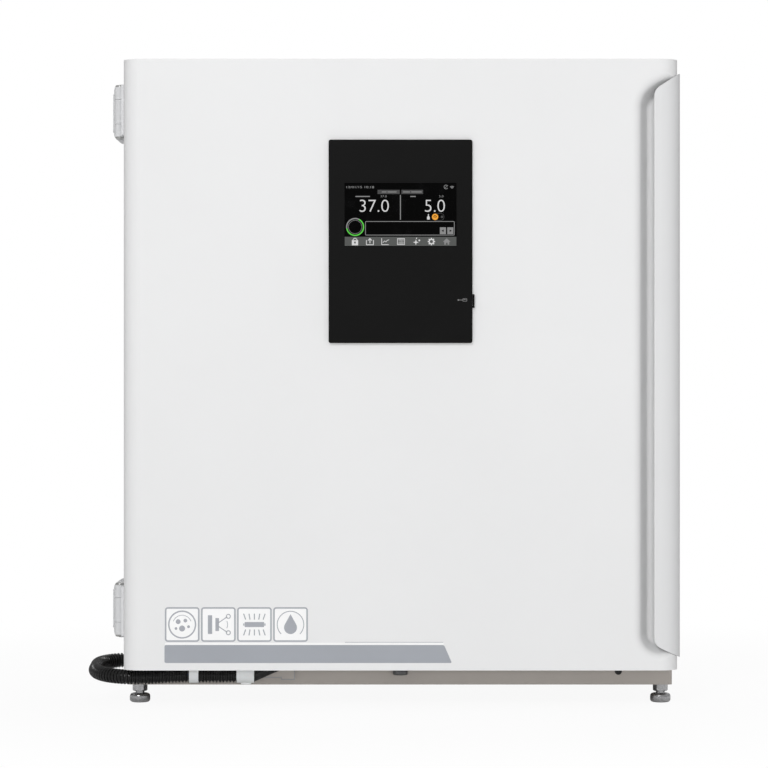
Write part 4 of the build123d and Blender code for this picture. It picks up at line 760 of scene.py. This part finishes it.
# %% A press for flat marks
class Press:
    """Gathers flat marks on a face that looks to the front, and makes them one piece."""

    def __init__(self, left, low, front, film=0.03):
        self.left, self.low, self.front, self.film = left, low, front, film
        self.marks = []

    def place(self, u, v):
        return ((self.left + u) * MM, self.front * MM, (self.low + v) * MM)

    def keep(self):
        self.marks.append(bpy.context.object)
        return bpy.context.object

    def bar(self, u, v, width, height, turn=0.0):
        """A rectangle about its middle, turned anticlockwise by an angle in degrees."""
        aim = (math.pi / 2, -math.radians(turn), 0)
        bpy.ops.mesh.primitive_plane_add(size=1, location=self.place(u, v), rotation=aim)
        self.keep().scale = (width * MM, height * MM, 1)

    def disc(self, u, v, radius, corners=28, turn=0.0, squeeze=1.0):
        """A disc, or with few corners a polygon, that can be turned and squeezed."""
        aim = (math.pi / 2, -math.radians(turn), 0)
        bpy.ops.mesh.primitive_circle_add(
            vertices=corners, radius=1, fill_type="NGON", location=self.place(u, v), rotation=aim
        )
        self.keep().scale = (radius * MM, radius * squeeze * MM, 1)

    def line(self, points, width):
        """Straight strokes from point to point, with round ends."""
        for (u0, v0), (u1, v1) in zip(points, points[1:]):
            length = math.hypot(u1 - u0, v1 - v0)
            turn = math.degrees(math.atan2(v1 - v0, u1 - u0))
            self.bar((u0 + u1) / 2, (v0 + v1) / 2, length, width, turn)
        for u, v in points:
            self.disc(u, v, width / 2, 12)

    def arc(self, u, v, radius, width, start=0.0, end=360.0, steps=36):
        """Part of a ring, as a band of quads that is bent from a grid."""
        bpy.ops.mesh.primitive_grid_add(
            x_subdivisions=steps, y_subdivisions=1, size=1,
            location=self.place(u, v), rotation=ALONG_Y,
        )
        band = self.keep()
        for vertex in band.data.vertices:
            angle = math.radians(start + (end - start) * (vertex.co.x + 0.5))
            reach = (radius + vertex.co.y * width) * MM
            vertex.co = (-reach * math.cos(angle + math.pi), reach * math.sin(angle), 0)

    def frame(self, u0, v0, u1, v1, width, corner=0.0):
        """An outline with rounded corners, its outer edges given."""
        half = width / 2
        inner = corner - half if corner else 0.0
        for v in (v0 + half, v1 - half):
            self.bar((u0 + u1) / 2, v, u1 - u0 - 2 * corner, width)
        for u in (u0 + half, u1 - half):
            self.bar(u, (v0 + v1) / 2, width, v1 - v0 - 2 * corner)
        if corner:
            spots = ((u1, v1, 0), (u0, v1, 90), (u0, v0, 180), (u1, v0, 270))
            for u, v, start in spots:
                middle_u = u - corner if u == u1 else u + corner
                middle_v = v - corner if v == v1 else v + corner
                self.arc(middle_u, middle_v, inner, width, start, start + 90, 6)

    def shape(self, points):
        """A flat figure with the given corners, listed anticlockwise."""
        bpy.ops.mesh.primitive_circle_add(
            vertices=len(points), radius=1, fill_type="NGON",
            location=self.place(0, 0), rotation=ALONG_Y,
        )
        for vertex, (u, v) in zip(self.keep().data.vertices, points):
            vertex.co = (u * MM, v * MM, 0)

    def figures(self, text, u0, v0, u1, v1, thin=0.0):
        """Digits that fill a given box, with strokes made thinner by a share of their size."""
        bpy.ops.object.text_add(location=(0, 0, 0))
        bpy.context.object.data.body = text
        bpy.context.object.data.offset = -thin
        bpy.context.object.data.resolution_u = 6
        bpy.ops.object.convert(target="MESH")
        item = self.keep()
        xs = [vertex.co.x for vertex in item.data.vertices]
        ys = [vertex.co.y for vertex in item.data.vertices]
        wide = (u1 - u0) / (max(xs) - min(xs))
        high = (v1 - v0) / (max(ys) - min(ys))
        item.scale = (wide * MM, high * MM, 1)
        item.rotation_euler = ALONG_Y
        item.location = self.place(u0 - min(xs) * wide, v0 - min(ys) * high)

    def print(self, name, finish, slot):
        """Join all marks into one piece on the door and give it the film's thickness."""
        pick(*self.marks)
        bake_place()
        bpy.ops.object.join()
        start_edit()
        bpy.ops.mesh.remove_doubles(threshold=0.001 * MM)
        pull(0, -self.film, 0)
        end_edit()
        finish_piece(self.marks[0], name, finish, slot, "outer_door")


# %% [markdown]
# ## The touch screen
# The panel shows a black page: two large readings, a status ring, a message box and a row of
# icons. The icons here are plain ones of our own. Light comes out of the picture, so its
# colours go to the emission socket, with a faint pixel grain.

# %% Glowing finishes
def glowing(name, colour):
    glow = Finish(name, (0.01, 0.01, 0.01), 0.3, Emission_Strength=1.0)
    grain = glow.noise(2400.0, 1.0)
    dim = tuple(c * 0.90 for c in colour)
    glow.set("Emission Color", glow.mix(grain, colour, dim))
    return glow


glows = {
    "white": glowing("screen_white", (0.66, 0.66, 0.66)),
    "soft": glowing("screen_soft_grey", (0.23, 0.23, 0.23)),
    "dim": glowing("screen_dim_grey", (0.042, 0.042, 0.042)),
    "bar": glowing("screen_bar_grey", (0.068, 0.072, 0.068)),
    "green": glowing("screen_green", (0.085, 0.62, 0.045)),
    "amber": glowing("screen_amber", (0.88, 0.36, 0.015)),
}
print("glowing finishes:", list(glows))

# %% [markdown]
# The picture is measured in millimetres from the screen's lower left corner. Its marks lie in
# three layers: grey and coloured areas, then lines and readings, and last the dark details on
# top of them. Each layer stands a film's thickness before the one below.

# %% Areas on the screen
SCREEN_LEFT, SCREEN_LOW, SCREEN_FRONT = -77.65, 643.5, -404.9
SCREEN_WIDTH = 155.3
FILM = 0.03
SCREEN = (SCREEN_LEFT, SCREEN_LOW, SCREEN_FRONT)
SECOND_LAYER = (SCREEN_LEFT, SCREEN_LOW, SCREEN_FRONT - FILM)
THIRD_LAYER = (SCREEN_LEFT, SCREEN_LOW, SCREEN_FRONT - 2 * FILM)
bars = Press(*SCREEN)
bars.bar(SCREEN_WIDTH / 2, 6.9, SCREEN_WIDTH, 12.6)
bars.print("screen_menu_bar", glows["bar"], "screen_glass")

dims = Press(*SCREEN)
dims.bar(61.1, 75.6, 30.8, 5.7)
dims.bar(93.9, 75.6, 30.0, 5.7)
dims.arc(133.3, 40.9, 4.9, 0.5, -90, 90, 12)
dims.bar(129.5, 45.8, 7.6, 0.5)
dims.bar(129.5, 36.0, 7.6, 0.5)
dims.disc(135.3, 41.0, 1.8, 12)
dims.print("screen_dim_marks", glows["dim"], "screen_glass")

ring = Press(*SCREEN)
ring.arc(14.5, 26.9, 11.7, 1.7, -170, 62, 44)
ring.print("screen_ring_green", glows["green"], "screen_glass")

amber = Press(*SCREEN)
amber.disc(125.7, 40.9, 4.4, 32)
amber.print("screen_button_amber", glows["amber"], "screen_glass")

# %% Grey lines and small signs
soft = Press(*SECOND_LAYER)
soft.bar(77.5, 54.2, 1.2, 34.4)
soft.frame(28.5, 15.2, 152.8, 34.9, 0.8, 1.5)
soft.bar(136.6, 21.6, 8.4, 9.6)
soft.bar(146.9, 21.6, 8.4, 9.6)
soft.arc(14.5, 26.9, 9.3, 0.5, 0, 360, 48)
soft.arc(14.5, 26.9, 11.7, 1.7, 62, 190, 28)
for middle, wide in ((25.0, 20.0), (95.0, 7.4)):
    soft.bar(middle, 69.3, wide, 1.4)
soft.figures("37.0", 49.9, 68.2, 58.5, 70.8)
soft.figures("5.0", 131.2, 68.2, 137.4, 70.8)
for start, width in ((50.0, 6.5), (58.0, 12.5), (79.6, 9.5), (91.0, 14.5)):
    soft.bar(start + 1.6 + width / 2, 75.6, width, 1.3)
soft.figures("12/01/15 10:18", 2.4, 80.8, 40.8, 83.8)
soft.arc(140.9, 82.5, 2.7, 0.7, 30, 330, 20)
soft.line([(139.2, 80.9), (142.6, 84.1)], 0.6)
for reach in (1.0, 2.3, 3.6):
    soft.arc(149.2, 79.9, reach, 0.8, 45, 135, 8)
house = [(138.4, 2.2), (140.7, 2.2), (140.7, 5.0), (143.1, 5.0), (143.1, 2.2), (145.4, 2.2)]
house += [(145.4, 6.2), (147.3, 6.2), (141.9, 11.2), (136.5, 6.2), (138.4, 6.2)]
soft.shape(house)
soft.print("screen_grey_marks", glows["soft"], "screen_glass")

# %% White readings and icons
white = Press(*SECOND_LAYER)
white.figures("37.0", 20.8, 47.9, 61.4, 64.8, 0.012)
white.figures("5.0", 111.6, 47.9, 139.3, 64.8, 0.012)
white.disc(116.4, 39.6, 1.9, 20, squeeze=1.35)
white.bar(116.4, 38.6, 3.8, 2.6)
white.bar(116.4, 43.2, 1.3, 3.0)
white.bar(14.3, 4.9, 8.8, 7.0)
white.arc(14.3, 8.2, 2.9, 1.0, 0, 180, 16)
white.line([(30.2, 8.2), (30.2, 2.2), (40.0, 2.2), (40.0, 8.2)], 1.0)
white.line([(35.1, 4.6), (35.1, 10.6)], 1.2)
white.line([(32.7, 8.4), (35.1, 10.9), (37.5, 8.4)], 1.1)
white.line([(51.4, 10.9), (51.4, 2.3), (60.9, 2.3)], 0.9)
white.line([(53.2, 5.2), (55.3, 7.4), (57.2, 6.0), (59.0, 8.2), (61.4, 8.9)], 0.8)
white.frame(73.0, 2.0, 83.6, 11.2, 0.8)
for step in range(4):
    white.bar(76.3, 3.6 + 2.0 * step, 3.2, 0.55)
    white.bar(80.6, 3.6 + 2.0 * step, 3.2, 0.55)
white.bar(78.4, 6.6, 0.45, 7.6)
for turn in (0, 90):
    white.disc(99.0, 5.6, 4.2, 4, turn, 0.30)
white.disc(103.8, 8.2, 1.3, 10)
white.disc(99.9, 11.1, 0.9, 10)
gear_u, gear_v = 120.6, 6.6
white.arc(gear_u, gear_v, 3.1, 1.6, 0, 360, 24)
for turn in range(0, 360, 45):
    across, up = 4.4 * math.cos(math.radians(turn)), 4.4 * math.sin(math.radians(turn))
    white.bar(gear_u + across, gear_v + up, 1.4, 1.7, turn)
white.print("screen_white_marks", glows["white"], "screen_glass")

# %% Dark details on the icons
ink = Press(*THIRD_LAYER)
ink.disc(136.6, 21.6, 2.0, 3, 90)
ink.disc(146.9, 21.6, 2.0, 3, -90)
ink.disc(14.3, 5.6, 1.1, 12)
ink.bar(14.3, 4.3, 0.8, 2.0)
ink.arc(125.7, 41.0, 1.8, 0.8, 0, 180, 12)
ink.bar(125.7, 40.6, 4.0, 0.7)
ink.print("screen_ink_marks", finishes["screen_glass"], "screen_glass")

# %% [markdown]
# ## Films on the door
# Low on the door, a grey film runs to the right and four square badges stand over it, each
# with a plain pictogram: a dish, a sensor, a lamp and a drop. They could be drawn in an image,
# but shapes of a few arcs and bars stay sharp. A printed film is smooth, with a slightly matt
# varnish.

# %% Film finishes
VARNISH = 0.34


def film(name, colour):
    sheet = Finish(name, colour, VARNISH, Coat_Weight=0.15, Coat_Roughness=0.3)
    screenprint = sheet.noise(1800.0, 1.0)
    sheet.set("Base Color", sheet.shade(sheet.ramp(sheet.noise(20.0, 2.0), 0.3, 0.8), 0.03))
    sheet.set("Roughness", VARNISH + 0.08 * (sheet.noise(40.0, 3.0) - 0.5))
    return sheet.bump(screenprint, 0.00001, 0.3)


film_grey = film("film_grey", (0.352, 0.370, 0.405))
badge_grey = film("badge_grey", (0.375, 0.390, 0.425))
film_white = film("film_white", (0.93, 0.93, 0.93))
film_dark = film("sign_grey", (0.30, 0.30, 0.30))
print("films:", film_grey.colour, badge_grey.colour, film_white.colour, film_dark.colour)

# %% The band
DOOR_FACE = -399.0
BAND_LEFT, BAND_LOW, BAND_HIGH = -328.7, 63.4, 88.5
BAND = ((BAND_LEFT, BAND_LOW), (71.7, BAND_LOW), (60.6, BAND_HIGH), (BAND_LEFT, BAND_HIGH))
band = upright_plate(BAND, DOOR_FACE, -0.12, 2.2)
finish_piece(band, "door_film_band", film_grey, "white_paint", "outer_door")

# %% Backing of the badges
BADGE_LEFTS = (-328.2, -277.8, -227.6, -177.3)
BADGE_LOW, BADGE_SIZE, BADGE_LINE = 92.9, 48.3, 2.2
BADGE_INSIDE = BADGE_SIZE - 3.0
backing = Press(0, 0, DOOR_FACE, 0.06)
backing.bar(-134.0, 90.1, 388.0, 3.0)
for left in BADGE_LEFTS:
    middle = left + BADGE_SIZE / 2
    backing.bar(middle, BADGE_LOW + BADGE_SIZE / 2, BADGE_INSIDE, BADGE_INSIDE)
backing.print("badge_backing", film_white, "white_paint")

# %% Frames and pictograms of the badges
MIDDLE, LEVEL = 24.1, 117.0
DROPLETS = ((18.5, 121.0, 3.4), (28.5, 122.5, 2.6), (24.0, 111.5, 4.2))
DROPLETS += ((33.0, 114.0, 2.0), (15.5, 111.5, 1.9))
hairline = Press(0, 0, DOOR_FACE, 0.07)
hairline.bar(-9.0, 92.3, 137.0, 0.8)
for left in BADGE_LEFTS:
    right, top = left + BADGE_SIZE, BADGE_LOW + BADGE_SIZE
    hairline.frame(left, BADGE_LOW, right, top, BADGE_LINE, 4.2)

dish, sensor, tube, drop = BADGE_LEFTS
hairline.arc(dish + MIDDLE, LEVEL, 18.6, 2.0, 0, 360, 56)
hairline.arc(dish + MIDDLE, LEVEL, 13.0, 0.9, 20, 160, 28)
for u, v, radius in DROPLETS:
    hairline.disc(dish + u, v, radius, 20)

hairline.bar(sensor + 12.5, LEVEL, 6.0, 26.0)
hairline.bar(sensor + 22.5, LEVEL, 5.0, 18.0)
for side in (1, -1):
    ends = [(sensor + 25.0, LEVEL + 3.0 * side), (sensor + 36.0, LEVEL + 10.5 * side)]
    hairline.line(ends, 1.3)
    hairline.arc(sensor + 38.0, LEVEL + 11.4 * side, 2.8, 1.3, 0, 360, 24)
hairline.arc(sensor + 25.0, LEVEL, 12.0, 1.0, -25, 25, 10)

hairline.bar(tube + MIDDLE, LEVEL, 27.0, 7.0)
for u in (9.4, 38.8):
    hairline.bar(tube + u, LEVEL, 1.6, 3.2)
for step in range(-2, 3):
    near, far = tube + MIDDLE + 6.2 * step, tube + MIDDLE + 7.4 * step
    for side in (1, -1):
        hairline.line([(near, LEVEL + 7.5 * side), (far, LEVEL + 14.5 * side)], 1.5)

hairline.arc(drop + MIDDLE, LEVEL, 18.5, 1.2, -45, 225, 48)
flank = [math.radians(150 + 10 * step) for step in range(25)]
drop_form = [(drop + MIDDLE + 9.0 * math.cos(a), 112.8 + 9.0 * math.sin(a)) for a in flank]
hairline.shape(drop_form + [(drop + MIDDLE, 131.5)])
hairline.print("badge_lines", badge_grey, "white_paint")

# %% Sign beside the side cover
SIGN_LEVEL = 568.8
port_sign = Press(0, 0, -405.0, 0.02)
port_sign.frame(86.5, SIGN_LEVEL - 1.9, 92.4, SIGN_LEVEL + 1.9, 0.5)
port_sign.line([(79.9, SIGN_LEVEL), (86.5, SIGN_LEVEL)], 0.6)
port_sign.disc(80.4, SIGN_LEVEL, 1.1, 14)
port_sign.bar(89.0, SIGN_LEVEL + 0.9, 2.6, 0.5)
port_sign.print("port_sign", film_dark, "black_plastic")

# %% [markdown]
# ## Feet, lock, cap and screws
# Small hardware tells a viewer the real size. The pads of the feet are turned with both edges
# rounded, and their studs show a few turns of thread between nut and pad. The thread could
# be a bump, but it shows at the stud's edge, so the collar's points are moved out in a wave
# that climbs by one pitch in each turn.

# %% Feet with rounded pads
FOOT_X, FOOT_Y = 370.0, 311.0
FEET = {
    "foot_front_left": (-FOOT_X, -FOOT_Y),
    "foot_front_right": (FOOT_X, -FOOT_Y),
    "foot_rear_left": (-FOOT_X, FOOT_Y),
    "foot_rear_right": (FOOT_X, FOOT_Y),
}
PAD = ((10.2, 0.0), (12.2, 0.5), (13.6, 1.6), (14.3, 3.0), (14.5, 4.4), (14.5, 8.4), (14.3, 9.9))
PAD += ((13.6, 11.3), (12.2, 12.4), (10.2, 13.0), (6.4, 13.2), (6.0, 13.5), (6.0, 52.0))
chrome = finishes["foot_chrome"]
for foot, place in FEET.items():
    name = foot.replace("foot", "round_foot")
    finish_piece(turned(PAD, place), name, chrome, "zinc_steel", foot, foot, smooth=40)

# %% Thread collars on the feet
THREAD_RADIUS, THREAD_DEPTH, THREAD_PITCH = 6.05, 0.4 * MM, 1.1 * MM
THREAD_MIDDLE, THREAD_LENGTH = 15.2, 4.4
for foot, (x, y) in FEET.items():
    place = (x, y, THREAD_MIDDLE)
    thread = cylinder(THREAD_RADIUS, THREAD_LENGTH, place, corners=28, ends="NOTHING")
    start_edit()
    bpy.ops.mesh.subdivide(number_cuts=7)
    bpy.ops.object.mode_set(mode="OBJECT")
    for vertex in thread.data.vertices:
        turn = math.atan2(vertex.co.y, vertex.co.x) / (2 * math.pi)
        wave = 0.5 + 0.5 * math.cos(2 * math.pi * (vertex.co.z / THREAD_PITCH - turn))
        growth = 1 + THREAD_DEPTH * wave / math.hypot(vertex.co.x, vertex.co.y)
        vertex.co.x *= growth
        vertex.co.y *= growth
    give_wall(thread, 0.03)
    finish_piece(thread, foot.replace("foot", "thread"), chrome, "zinc_steel", foot, smooth=50)

# %% [markdown]
# The conduit's sleeve ends at a small stepped plate under the door, where the wires go up. It
# is a bent steel tab in the plinth's coat, which is painted shade, and a dark strip in seal
# rubber round its edge is a painted shadow line. Seen from the front it is a flat outline, so
# it is drawn as one and extruded.

# %% Wire tab under the door
TAB_LEFT, TAB_STEP, TAB_RIGHT = -191.0, -168.5, -149.0
TAB_HIGH, TAB_LOW, EDGE = 37.0, 34.0, 1.1
stair = ((TAB_LEFT, TAB_HIGH), (TAB_STEP, TAB_HIGH), (TAB_STEP, TAB_LOW), (TAB_RIGHT, TAB_LOW))
tab_outline = ((TAB_LEFT, DOOR_BOTTOM), *stair, (TAB_RIGHT, DOOR_BOTTOM))
tab_shadow_line_outline = (
    (TAB_LEFT, TAB_HIGH + EDGE), *stair, (TAB_RIGHT, DOOR_BOTTOM),
    (TAB_RIGHT - EDGE, DOOR_BOTTOM), (TAB_RIGHT - EDGE, TAB_LOW + EDGE),
    (TAB_STEP + EDGE, TAB_LOW + EDGE), (TAB_STEP + EDGE, TAB_HIGH + EDGE),
)
tab = upright_plate(tab_outline, -338.2, 0.9)
finish_piece(tab, "wire_tab", finishes["plinth_painted_shade"], "white_paint", "outer_door")
# The dark strip round the tab is a painted shadow line.
rim = upright_plate(tab_shadow_line_outline, -338.7, 1.4)
finish_piece(rim, "wire_tab_shadow_line", finishes["grey_rubber"], "grey_rubber", "outer_door")

# %% [markdown]
# The door's lock is a bolt that rises from a small cup. The cup of the CAD model hangs lower
# than on the real cabinet, so a flatter cup and bolt take its place. A short arm holds the
# cup to the plinth. The cup's edges are rounded and its bore lets the bolt through.

# %% Lock cup and bolt
LOCK_Y = -350.0
CUP_LOW, CUP_HIGH, CUP_RADIUS, BORE_RADIUS = 42.3, 49.5, 10.6, 4.3
ARM_SIZE, ARM_MIDDLE = (13.0, 7.6, 3.0), (0, -337.0, 46.6)
BOLT_RADIUS, BOLT_LENGTH, BOLT_MIDDLE = 4.0, 7.6, 46.2
blackened = finishes["lock_steel"]
cup = cylinder(CUP_RADIUS, CUP_HIGH - CUP_LOW, (0, LOCK_Y, (CUP_LOW + CUP_HIGH) / 2), corners=48)
round_edges(cup, 1.8, 4)
cut_away(cup, cylinder(BORE_RADIUS, 20.0, (0, LOCK_Y, CUP_LOW)))
arm = block(ARM_SIZE, ARM_MIDDLE)
pick(cup, arm)
bpy.ops.object.join()
finish_piece(cup, "lock_cup", blackened, "zinc_steel", "cabinet", "lock_housing", smooth=35)

bolt = cylinder(BOLT_RADIUS, BOLT_LENGTH, (0, LOCK_Y, BOLT_MIDDLE))
round_edges(bolt, 0.6, 3)
apply_modifiers(bolt)
finish_piece(bolt, "short_lock_bolt", blackened, "zinc_steel", "bolt", "lock_bolt", smooth=35)

# %% [markdown]
# Last come the smallest fasteners. A rubber cap closes a hole in the plinth. Cross-head
# screws hold the rear cover: one head is bevelled, two crossed blocks are taken out of it,
# and it is copied to every place.

# %% Rubber cap in the plinth
cap = cylinder(5.1, 2.0, (308.6, -331.6, 45.5), ALONG_Y, 36)
round_edges(cap, 0.8, 4)
apply_modifiers(cap)
finish_piece(cap, "plinth_cap", finishes["cap_rubber"], "black_plastic", "cabinet", smooth=40)

# %% Cross-head screws on the rear cover
def screw_head(radius, height):
    """A pan-head screw that looks to the back, with its cross recess."""
    head = cylinder(radius, height, (0, height / 2, 0), ALONG_Y, 28)
    bake_place()
    round_edges(head, 0.45 * height, 4)
    apply_modifiers(head)
    size = (1.25 * radius, 1.1 * height, 0.26 * radius)
    for turn in (0, math.pi / 2):
        cut_away(head, block(size, (0, height, 0), (0, turn, 0)))
    return head


COVER_SCREWS = [(x, z) for x in (-374.0, 374.0) for z in (110.0, 300.0, 490.0, 680.0, 870.0)]
COVER_SCREWS += [(x, z) for x in (-190.0, 0.0, 190.0) for z in (82.5, 894.0)]
COVER_FACE = 332.2
zinc = finishes["zinc_steel"]
pattern = screw_head(3.6, 1.9)
for number, (x, z) in enumerate(COVER_SCREWS, start=1):
    pick(pattern)
    bpy.ops.object.duplicate()
    screw = bpy.context.object
    screw.location = Vector((x, COVER_FACE, z)) * MM
    finish_piece(screw, "cover_screw_" + str(number), zinc, "zinc_steel", "cabinet", smooth=35)
pick(pattern)
bpy.ops.object.delete()
